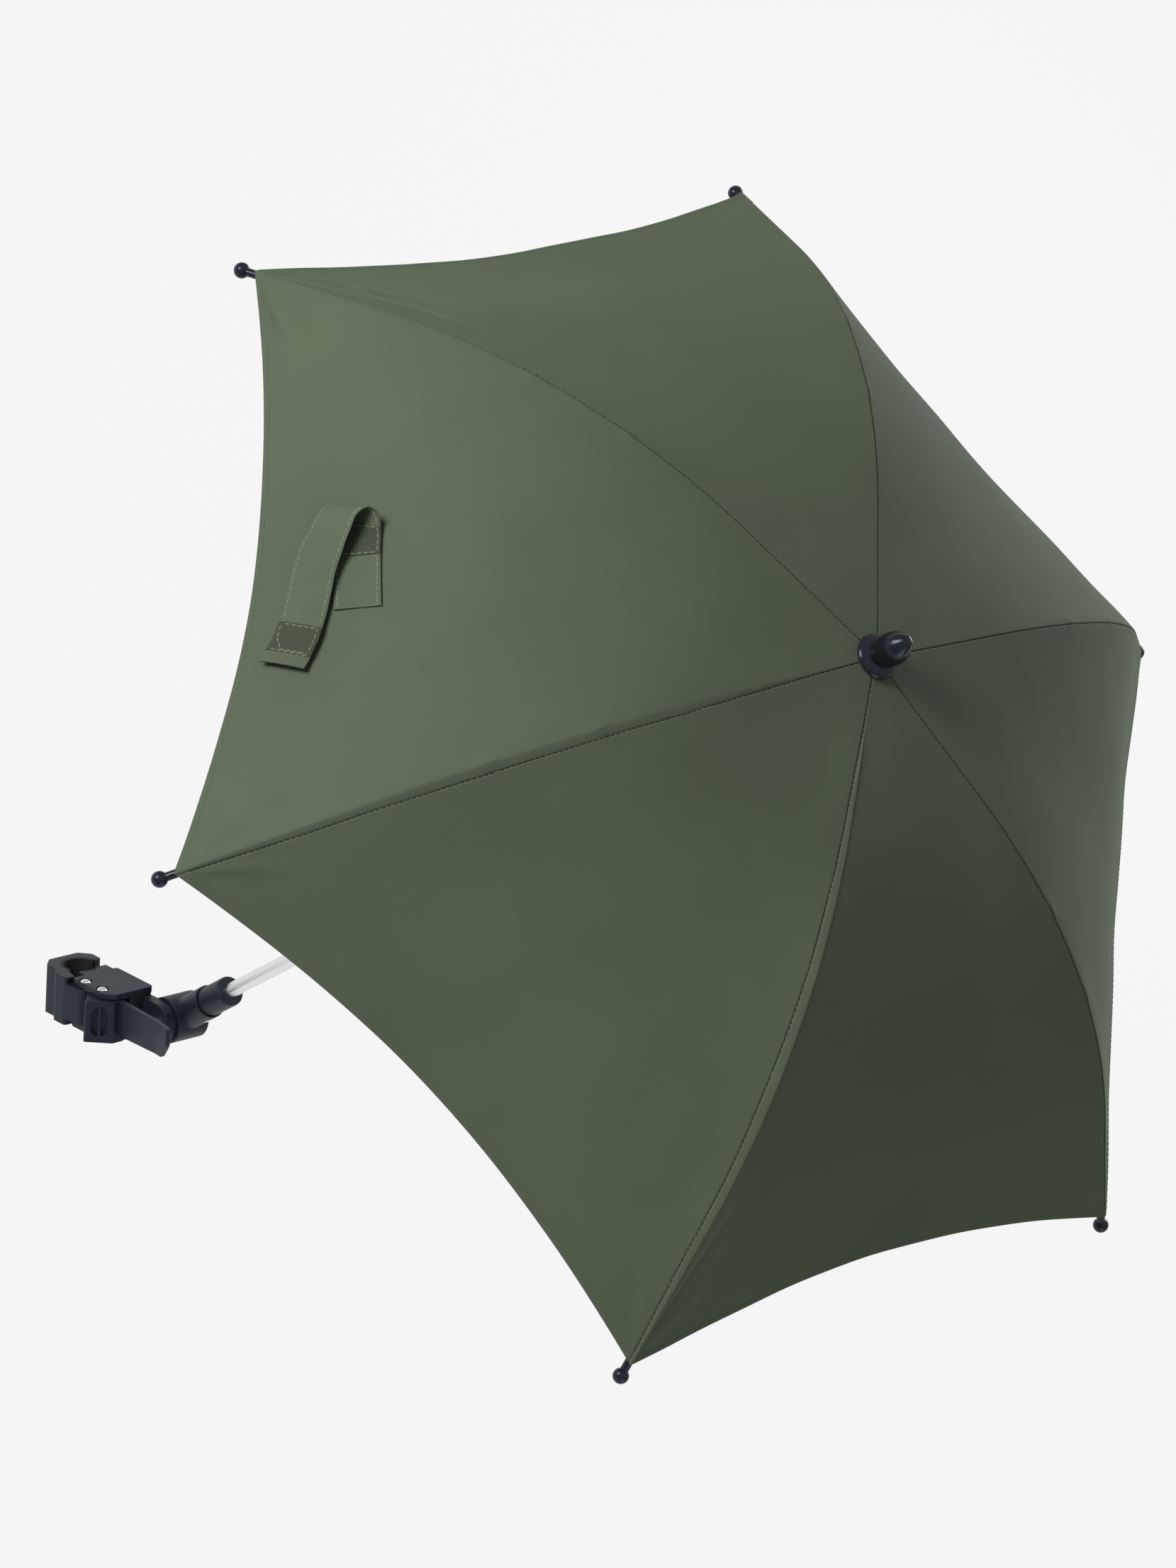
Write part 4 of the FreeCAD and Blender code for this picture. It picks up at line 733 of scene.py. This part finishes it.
def panel_sheet(name, panel, x, t, hem=None):
    """One piece of canopy cloth from grids of x and t; hem is the distance from the rim, where it has one."""
    rows, columns = x.shape
    points, normals = cloth_surface(panel, x.ravel(), t.ravel())
    thick = np.full(x.size, CLOTH_T)
    raised = np.zeros(x.size)
    if hem is not None:
        fold = smooth((HEM_W + HEM_STEP_RUN / 2 - hem.ravel()) / HEM_STEP_RUN)
        thick += (HEM_T - CLOTH_T) * fold
        raised += HEM_RAISE * fold
        close = np.clip(1 - hem.ravel() / HEM_LIP_W, 0, 1)
        curl = 1 - np.sqrt(1 - close ** 2 * HEM_LIP_ROUND)
        raised -= curl * HEM_LIP_DROP
        thick -= curl * HEM_LIP_THIN
    outer = points + normals * raised[:, None]
    inner = outer - normals * thick[:, None]
    all_points, faces = closed_sheet(outer, inner, rows, columns)
    length = np.concatenate([np.zeros((1, columns)), np.cumsum(np.hypot(
        np.diff(x, axis=0), np.diff(cloth_profile(x)[0], axis=0)), 0)])
    uv = np.stack([t.ravel(), length.ravel()], -1) / UV_UNIT
    obj = mesh_object(name, all_points, faces, canopy_cloth, np.concatenate([uv, uv]), 180)
    sheet_normals(obj.data, normals, rows, columns)
    area = sum(np.linalg.norm(np.cross(outer[face[1]] - outer[face[0]], outer[face[3]] - outer[face[0]]))
               for face in grid_faces(rows, columns)) * MM * MM
    return obj, area


def seam_path(panel, end, start_x, stop_x):
    """Points along the stitched line beside a rib."""
    x = np.linspace(start_x, stop_x, SEAM_POINTS)
    slope = cloth_profile(x)[1]
    offset = seam_offset(panel, end, x)
    return cloth_surface(panel, x, end * (x * TAN_HALF - offset / seam_lean(slope)))


def squashed(obj):
    """Gives a soft piece its own copy of its mesh."""
    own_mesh(obj)


INNER_KEEP = 0.13          # share of a panel's width that is left when the canopy is closed
OUTER_KEEP = 0.14
INNER_ROWS = 74
OUTER_ROWS = 40
HEM_ROWS = np.array([9.0, 7.4, 6.0, 5.2, 4.8, 4.4, 3.8, 3.1, 2.4, 1.7, 1.0, 0.6, 0.4, 0.22, 0.1, 0.03, 0.0])
for panel in range(RIB_COUNT):
    number = str(panel + 1)
    body = "panel_" + number
    rim_body = "panel_rim_" + number
    inner_x = np.linspace(CROWN_HOLE_X, SPLICE_X, INNER_ROWS)
    inner_t = panel_columns(inner_x)
    inner_rows = np.repeat(inner_x[:, None], inner_t.shape[1], 1)
    inner, inner_area = panel_sheet("canopy_inner_" + number, panel, inner_rows, inner_t)
    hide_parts("gore_inner_" + number)
    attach(inner, body)
    # Outer piece: plain rows first, then close rows along the hem
    start_t = panel_columns(np.array([CORNER_X]))[0]
    rim = rim_x(start_t)
    rim_slope = cloth_profile(np.array([CORNER_X]))[1][0]
    plain = np.linspace(0, 1, OUTER_ROWS)[:, None]
    hem_start = rim - HEM_ROWS[0] * math.cos(rim_slope)
    upper_x = SPLICE_X + plain * (hem_start - SPLICE_X)[None, :]
    lower_x = rim[None, :] - HEM_ROWS[1:, None] * math.cos(rim_slope)
    outer_x = np.concatenate([upper_x, lower_x])
    outer_t = np.stack([panel_columns(outer_x[:, column])[:, column]
                        for column in range(outer_x.shape[1])], 1)
    outer_t = np.clip(outer_t, -outer_x * TAN_HALF, outer_x * TAN_HALF)
    hem = (rim[None, :] - outer_x) / math.cos(rim_slope)
    outer, outer_area = panel_sheet("canopy_rim_" + number, panel, outer_x, outer_t, hem)
    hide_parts("gore_outer_" + number)
    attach(outer, rim_body)
    # Stitching on the seams, which also paints the shadow line of their folds, and along the hem
    inner_trim = []
    outer_trim = []
    for end, side in ((-1, "a"), (1, "b")):
        if seam_offset(panel, end, inner_x) is None:
            continue
        path, normals = seam_path(panel, end, CROWN_HOLE_X + SEAM_STITCH_END, SPLICE_X)
        inner_trim.append(dashes("seam_inner_" + number + side, path, normals, seam_thread_and_shadow,
                                 SEAM_DASH, SEAM_DASH_GAP, SEAM_DASH_W))
        path, normals = seam_path(panel, end, SPLICE_X, CORNER_X - SEAM_STITCH_END)
        outer_trim.append(dashes("seam_rim_" + number + side, path, normals, seam_thread_and_shadow,
                                 SEAM_DASH, SEAM_DASH_GAP, SEAM_DASH_W))
    hem_t = np.linspace(-1, 1, HEM_STITCH_POINTS) * (CORNER_X - HEM_STITCH_END) * TAN_HALF
    hem_x = rim_x(hem_t) - HEM_STITCH * math.cos(rim_slope)
    path, normals = cloth_surface(panel, hem_x, np.clip(hem_t, -hem_x * TAN_HALF, hem_x * TAN_HALF))
    path = path + normals * HEM_STITCH_LIFT
    outer_trim.append(dashes("hem_stitch_" + number, path, normals, hem_thread))
    for trim, owner, joint, keep in ((inner_trim, body, "panel_fold_" + number, INNER_KEEP),
                                     (outer_trim, rim_body, "panel_rim_turn_" + number, OUTER_KEEP)):
        for piece in trim:
            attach(piece, owner)
            squashed(piece)
    squashed(inner)
    squashed(outer)


# Tape under each seam, which also closes the seam when the canopy folds

def seam_tape(name, rib, start_x, stop_x):
    x = np.linspace(start_x, stop_x, TAPE_ROWS)
    slope = cloth_profile(x)[1]
    points = []
    normals = []
    for away in np.linspace(-SEAM_W / 2, SEAM_W / 2, TAPE_COLUMNS):
        panel = (rib if away >= 0 else rib - 1) % RIB_COUNT
        end = -1 if away >= 0 else 1
        reach = np.minimum(abs(away), x * TAN_HALF * TAPE_SHARE)
        here, up = cloth_surface(panel, x, end * (x * TAN_HALF - reach / seam_lean(slope)))
        points.append(here - up * SEAM_DROP)
        normals.append(up)
    outer = np.stack(points, 1).reshape(-1, 3)
    inner = outer - np.stack(normals, 1).reshape(-1, 3) * SEAM_T
    all_points, faces = closed_sheet(outer, inner, TAPE_ROWS, TAPE_COLUMNS)
    return mesh_object(name, all_points, faces[:, ::-1], tape_cloth, all_points[:, :2] / UV_UNIT)


for rib in range(RIB_COUNT):
    number = str(rib + 1)
    for name, owner, start_x, stop_x in (
            ("seam_tape_inner_", "rib_", CROWN_HOLE_X + TAPE_CROWN_END, SPLICE_X - TAPE_SPLICE_END),
            ("seam_tape_rim_", "rib_end_", SPLICE_X + TAPE_SPLICE_END, CORNER_X - TAPE_RIM_END)):
        tape = seam_tape(name + number, rib, start_x, stop_x)
        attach(tape, owner + number)


# Closing strap

def smooth_line(points, spacing):
    """A curve through points, sampled evenly along its first three numbers; further numbers follow."""
    points = np.asarray(points, float)
    padded = np.concatenate([[2 * points[0] - points[1]], points, [2 * points[-1] - points[-2]]])
    share = np.linspace(0, 1, LINE_POINTS, endpoint=False)[:, None]
    pieces = []
    for i in range(len(points) - 1):
        a, b, c, d = padded[i:i + 4]
        pieces.append(0.5 * (2 * b + (c - a) * share + (2 * a - 5 * b + 4 * c - d) * share ** 2
                             + (3 * b - a - 3 * c + d) * share ** 3))
    line = np.concatenate(pieces + [points[-1:]])
    at = np.concatenate([[0], np.cumsum(np.linalg.norm(np.diff(line[:, :3], axis=0), axis=1))])
    even = np.linspace(0, at[-1], int(at[-1] / spacing) + 1)
    return np.stack([np.interp(even, at, column) for column in line.T], -1), even


def over_cloth(places):
    """Points over the strap's panel from rows of across, out and over."""
    places = np.asarray(places)
    base, normals = cloth_surface(STRAP_PANEL, places[:, 1], places[:, 0])
    return base + normals * places[:, 2:3]


def strap_frame():
    """Middle line of the strap with its width and outward directions at each point."""
    rim_side = over_cloth(STRAP_RIM_EDGE)
    crown_side = over_cloth(STRAP_CROWN_EDGE)
    half_width = (rim_side - crown_side) / 2
    pairs, at = smooth_line(np.concatenate([crown_side + half_width, half_width], 1), STRAP_STEP)
    line = pairs[:, :3]
    along = np.gradient(line, axis=0)
    wide = pairs[:, 3:] / (STRAP_W / 2)
    out = np.cross(wide, along)
    return line, at, wide, out / np.linalg.norm(out, axis=1, keepdims=True)


strap_line, strap_at, strap_wide, strap_out = strap_frame()
STRAP_LENGTH = strap_at[-1]


def strap_points(at, side, over):
    """Points on the strap: at along it, side across it, over outside its middle."""
    middle = np.stack([np.interp(at, strap_at, strap_line[:, i]) for i in range(3)], -1)
    wide = np.stack([np.interp(at, strap_at, strap_wide[:, i]) for i in range(3)], -1)
    out = np.stack([np.interp(at, strap_at, strap_out[:, i]) for i in range(3)], -1)
    free_end = smooth((at - RIPPLE_FROM) / RIPPLE_RUN)
    swell = np.sin(at / RIPPLE_SWELL) ** 2
    ripple = RIPPLE_H * np.sin(at / RIPPLE_PITCH + side / RIPPLE_LEAN) * swell * free_end
    ripple = ripple + PUCKER_H * np.sin(at / PUCKER_PITCH - side / PUCKER_LEAN)
    edge_curl = EDGE_CURL * np.abs(side / (STRAP_W / 2)) ** 3
    return middle + wide * side[:, None] + out * (over + ripple - edge_curl)[:, None], out


def strap_slab(name, start, stop, half, low, high, material):
    """A band along the strap between two heights over its middle."""
    at = np.arange(start, stop + STRAP_STEP / 2, STRAP_STEP)
    side = np.linspace(-half, half, STRAP_COLUMNS)
    at_grid, side_grid = np.meshgrid(at, side, indexing="ij")
    outside = np.clip((np.abs(side_grid) - half + STRAP_ROUND_W) / STRAP_ROUND_W, 0, 1).ravel()
    edge = outside ** 2 * (high - low) * STRAP_ROUND_SHARE
    outer, _ = strap_points(at_grid.ravel(), side_grid.ravel(), high - edge)
    inner, _ = strap_points(at_grid.ravel(), side_grid.ravel(), low + edge)
    points, faces = closed_sheet(outer, inner, len(at), len(side))
    uv = np.stack([side_grid.ravel(), at_grid.ravel()], -1) / UV_UNIT
    return mesh_object(name, points, faces, material, np.concatenate([uv, uv]), 50)


def strap_stitch(name, corners, over, inward=False):
    """Stitches on the strap through (along, across) points; inward puts them on the face inside the loop."""
    corners = np.asarray(corners, float)
    legs = [np.linspace(corners[i], corners[i + 1], LEG_POINTS) for i in range(len(corners) - 1)]
    places = np.concatenate(legs)
    path, out = strap_points(places[:, 0], places[:, 1], np.full(len(places), over))
    normals = -out if inward else out
    return dashes(name, path, normals, strap_thread, STRAP_DASH, STRAP_DASH_GAP, STRAP_DASH_W)


def zigzag(at, reach, height):
    """Close zigzag stitching across the strap."""
    across = np.linspace(-reach, reach, ZIGZAG_POINTS)
    return [(at + height * (-1) ** i, side) for i, side in enumerate(across)]


half_strap = STRAP_W / 2
face = STRAP_T / 2
strap = strap_slab("strap", 0, STRAP_LENGTH, half_strap, -face, face, strap_cloth)
loop_patch = strap_slab("strap_loop_patch", STRAP_LENGTH - PATCH_END - PATCH_LENGTH, STRAP_LENGTH - PATCH_END,
                        half_strap + LOOP_OVERHANG, face, face + PATCH_T, loop_tape)
hook_patch = strap_slab("strap_hook_patch", HOOK_FROM, HOOK_TO, half_strap - HOOK_INSET,
                        -face - PATCH_T, -face, hook_tape)
side_line = half_strap - STRAP_EDGE
hook_side = half_strap - HOOK_STITCH_SIDE
hook_start = HOOK_FROM + HOOK_STITCH_START
hook_stop = HOOK_TO - HOOK_STITCH_STOP
patch_from = STRAP_LENGTH - PATCH_END - PATCH_LENGTH + LOOP_STITCH_START
patch_to = STRAP_LENGTH - PATCH_END - LOOP_STITCH_STOP
side_stop = patch_from - SIDE_STITCH_GAP
patch_end_side = half_strap - PATCH_END_SIDE
strap_trim = [
    loop_patch,
    hook_patch,
    strap_stitch("strap_stitch_a", ((STITCH_FROM, side_line), (side_stop, side_line)), face),
    strap_stitch("strap_stitch_b", ((STITCH_FROM, -side_line), (side_stop, -side_line)), face),
    strap_stitch("strap_stitch_c", ((STITCH_FROM, side_line), (BACK_STITCH_TO, side_line)), -face, True),
    strap_stitch("strap_stitch_d", ((STITCH_FROM, -side_line), (BACK_STITCH_TO, -side_line)), -face, True),
    strap_stitch("strap_base_stitch", zigzag(BASE_STITCH_AT, BASE_STITCH_REACH, BASE_STITCH_H), -face, True),
    strap_stitch("strap_hook_stitch", (
        (hook_start, -hook_side), (hook_stop, -hook_side), (hook_stop, hook_side), (hook_start, hook_side),
        (hook_start, -hook_side)), -face - PATCH_T, True),
    strap_stitch("strap_loop_stitch", (
        (patch_from, side_line - LOOP_NEAR_CUT), (patch_from, -side_line), (patch_to, -side_line),
        (patch_to, side_line - LOOP_FAR_CUT), (patch_to - LOOP_FAR_CUT, side_line - LOOP_FAR_SIDE),
        (patch_from + LOOP_NEAR_RUN, side_line), (patch_from, side_line - LOOP_NEAR_CUT)), face + PATCH_T),
    strap_stitch("strap_patch_stitch", (
        (patch_to + PATCH_END_LEFT, -patch_end_side), (patch_to + PATCH_END_RIGHT, patch_end_side)),
        face + PATCH_T),
]
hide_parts("closing_strap")
strap_body = "panel_rim_" + str(STRAP_PANEL + 1)
for piece in [strap] + strap_trim:
    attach(piece, strap_body)
    squashed(piece)


# Wound neck: one continuous winding, in pieces that each span one joint of the links

def winding(name, low, high):
    rows = int((high - low) / WIRE_PITCH * WIRE_ROWS) + 1
    height = np.linspace(low, high, rows)
    turn = np.linspace(0, 2 * math.pi, NECK_SIDES, endpoint=False)
    z, angle = np.meshgrid(height, turn, indexing="ij")
    place = (z / WIRE_PITCH - angle / (2 * math.pi)) % 1
    radius = NECK_R - WIRE_DEPTH * (1 - np.sqrt(1 - (2 * place - 1) ** 2 * WIRE_ROUND))
    east = POLE_X + radius * np.cos(angle)
    points = np.stack([east, POLE_Y + radius * np.sin(angle), z], -1).reshape(-1, 3)
    coil = mesh_object(name, points, tube_faces(rows, NECK_SIDES), neck_steel, sharp_degrees=75)
    # Painted shade: marks the bottoms of the winding, where the material darkens its colour
    painted_groove_shade = coil.data.attributes.new("painted_groove_shade", "FLOAT", "POINT")
    painted_groove_shade.data.foreach_set("value", np.clip(np.abs(2 * place - 1) ** PAINTED_GROOVE_SHADE_POWER, 0, 1).ravel())
    return coil


bend_names = ["neck_bend", "neck_bend_2", "neck_bend_3", "neck_bend_4"]
bends = [joint_named(name) for name in bend_names]
bend_z = [joint["pos_m"][2] / MM for joint in bends]
link_step = bend_z[1] - bend_z[0]
neck_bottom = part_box("neck_link_1")[0].z / MM
neck_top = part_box("neck_link_5")[1].z / MM
middles = [bend_z[0] - link_step / 2] + [z + link_step / 2 for z in bend_z]
for i, joint in enumerate(bends):
    low = neck_bottom + NECK_END if i == 0 else middles[i]
    high = neck_top - NECK_END if i == len(bends) - 1 else middles[i + 1]
    coil = winding("neck_winding_" + str(i + 1), low, high)
    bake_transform(coil)
    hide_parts("neck_link_" + str(i + 1))
    if i == len(bends) - 1:
        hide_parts("neck_link_5")


# Finial

finial = lathe("finial_cap", FINIAL_LINE, (POLE_X, POLE_Y, FINIAL_Z), gloss_black)
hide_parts("finial")
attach(finial, "shaft")


# Floor, light and camera

FLOOR_DROP = 0.9           # under the part, in metres
FLOOR_REACH = 30.0         # to each side, in metres
floor_mesh = bpy.data.meshes.new("floor")
floor_z = cad_low.z - FLOOR_DROP
floor_corners = [(FLOOR_REACH * x, FLOOR_REACH * y, floor_z) for x, y in ((-1, -1), (1, -1), (1, 1), (-1, 1))]
floor_mesh.from_pydata(floor_corners, [], [(0, 1, 2, 3)])
floor_material, floor_tree, floor_shader = new_material("floor_paper")
set_values(floor_shader, Base_Color=(0.9, 0.9, 0.9, 1), Roughness=0.9, Specular_IOR_Level=0.1)


def seen_directly(tree):
    """1 for rays from the camera and for mirrored or transmitted ones, 0 for the rays that light the part."""
    path = add(tree, "ShaderNodeLightPath")
    total = add(tree, "ShaderNodeMath", operation="MAXIMUM")
    join_at(tree, path, "Is Camera Ray", total, 0)
    join_at(tree, path, "Is Glossy Ray", total, 1)
    both = add(tree, "ShaderNodeMath", operation="MAXIMUM")
    join_at(tree, total, "Value", both, 0)
    join_at(tree, path, "Is Transmission Ray", both, 1)
    return both


# Floor: mostly the pale paper as it is seen, and for the rest the lit surface that carries the shadow
PAPER = (1.0, 1.0, 1.0)
PAPER_GLOW_SHARE = 0.83
glow = add(floor_tree, "ShaderNodeEmission", Color=(*PAPER, 1))
seen = add(floor_tree, "ShaderNodeMath", operation="MULTIPLY")
join_at(floor_tree, seen_directly(floor_tree), "Value", seen, 0)
seen.inputs[1].default_value = PAPER_GLOW_SHARE
blend = add(floor_tree, "ShaderNodeMixShader")
join(floor_tree, seen, "Value", blend, "Fac")
join_at(floor_tree, floor_shader, "BSDF", blend, 1)
join_at(floor_tree, glow, "Emission", blend, 2)
join(floor_tree, blend, "Shader", floor_tree.nodes["Material Output"], "Surface")
floor = new_object("floor", floor_mesh, floor_material)
floor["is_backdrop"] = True

world = bpy.data.worlds.new("studio")
scene.world = world
world.use_nodes = True
WORLD_LIGHT = 0.135
SKY_SEEN = 0.92
HORIZON_MIRRORED = 0.35
TENT_FROM = 0.05           # upward share of a direction where the light tent overhead starts
TENT_TO = 0.95
sky_tree = world.node_tree
sky = sky_tree.nodes["Background"]
sky.inputs["Color"].default_value = (0.95, 0.97, 1.0, 1)
paper_sky = add(sky_tree, "ShaderNodeMapRange", To_Min=WORLD_LIGHT, To_Max=SKY_SEEN)
join(sky_tree, seen_directly(sky_tree), "Value", paper_sky, "Value")
# Mirrored rays see a tent that is pale overhead and dim at the horizon
heading = add(sky_tree, "ShaderNodeSeparateXYZ")
join(sky_tree, add(sky_tree, "ShaderNodeTexCoord"), "Generated", heading, "Vector")
tent = add(sky_tree, "ShaderNodeMapRange", From_Min=TENT_FROM, From_Max=TENT_TO, To_Min=HORIZON_MIRRORED,
           To_Max=SKY_SEEN)
join(sky_tree, heading, "Z", tent, "Value")
mirrored_sky = add(sky_tree, "ShaderNodeMapRange")
join(sky_tree, add(sky_tree, "ShaderNodeLightPath"), "Is Glossy Ray", mirrored_sky, "Value")
join(sky_tree, paper_sky, "Result", mirrored_sky, "To Min")
join(sky_tree, tent, "Result", mirrored_sky, "To Max")
join(sky_tree, mirrored_sky, "Result", sky, "Strength")


# Lamps round the canopy's middle: name, azimuth, elevation, distance and size in metres, power in watts
LAMPS = (
    ("key", 145, 20, 3.0, 1.2, 67),
    ("far_rim", 12, 4, 2.8, 1.4, 27),
    ("near_fill", 262, 8, 2.8, 1.4, 12),
)
LAMP_AIM_RISE = 80.0       # aimed this far over the ring of tips
canopy_middle = Vector((POLE_X * MM, POLE_Y * MM, (TIP_PLANE_Z + LAMP_AIM_RISE) * MM))


def area_light(name, azimuth, elevation, distance, size, power):
    """A square lamp that is aimed at the canopy's middle."""
    data = bpy.data.lights.new(name, "AREA")
    data.shape = "SQUARE"
    data.size = size
    data.energy = power
    turn = math.radians(azimuth)
    rise = math.radians(elevation)
    across = distance * math.cos(rise)
    away = Vector((across * math.cos(turn), across * math.sin(turn), distance * math.sin(rise)))
    place = canopy_middle + away
    lamp = bpy.data.objects.new(name, data)
    scene.collection.objects.link(lamp)
    lamp.location = place
    lamp.rotation_mode = "QUATERNION"
    lamp.rotation_quaternion = (canopy_middle - place).to_track_quat("-Z", "Y")


for lamp_row in LAMPS:
    area_light(*lamp_row)

# Camera fitted to the photograph, placed relative to the middle of the ring of tips
CAMERA_AT = Vector((-2.1875, -0.4158, 2.5206))
CAMERA_RIGHT = Vector((0.74930, -0.32475, 0.57713))
CAMERA_UP = Vector((0.17466, 0.93756, 0.30079))
CAMERA_BACK = Vector((-0.63877, -0.12458, 0.75924))
camera_data = bpy.data.cameras.new("camera")
camera_data.lens = 145.05
camera_data.sensor_width = 36.0
camera_data.clip_start = 0.05
camera_data.clip_end = 100.0
camera = bpy.data.objects.new("camera", camera_data)
scene.collection.objects.link(camera)
turn = Matrix((CAMERA_RIGHT, CAMERA_UP, CAMERA_BACK)).transposed().to_4x4()
camera.matrix_world = Matrix.Translation(Vector(CANOPY_AT * MM) + CAMERA_AT) @ turn
scene.camera = camera
scene.view_settings.view_transform = "Standard"

low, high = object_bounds()
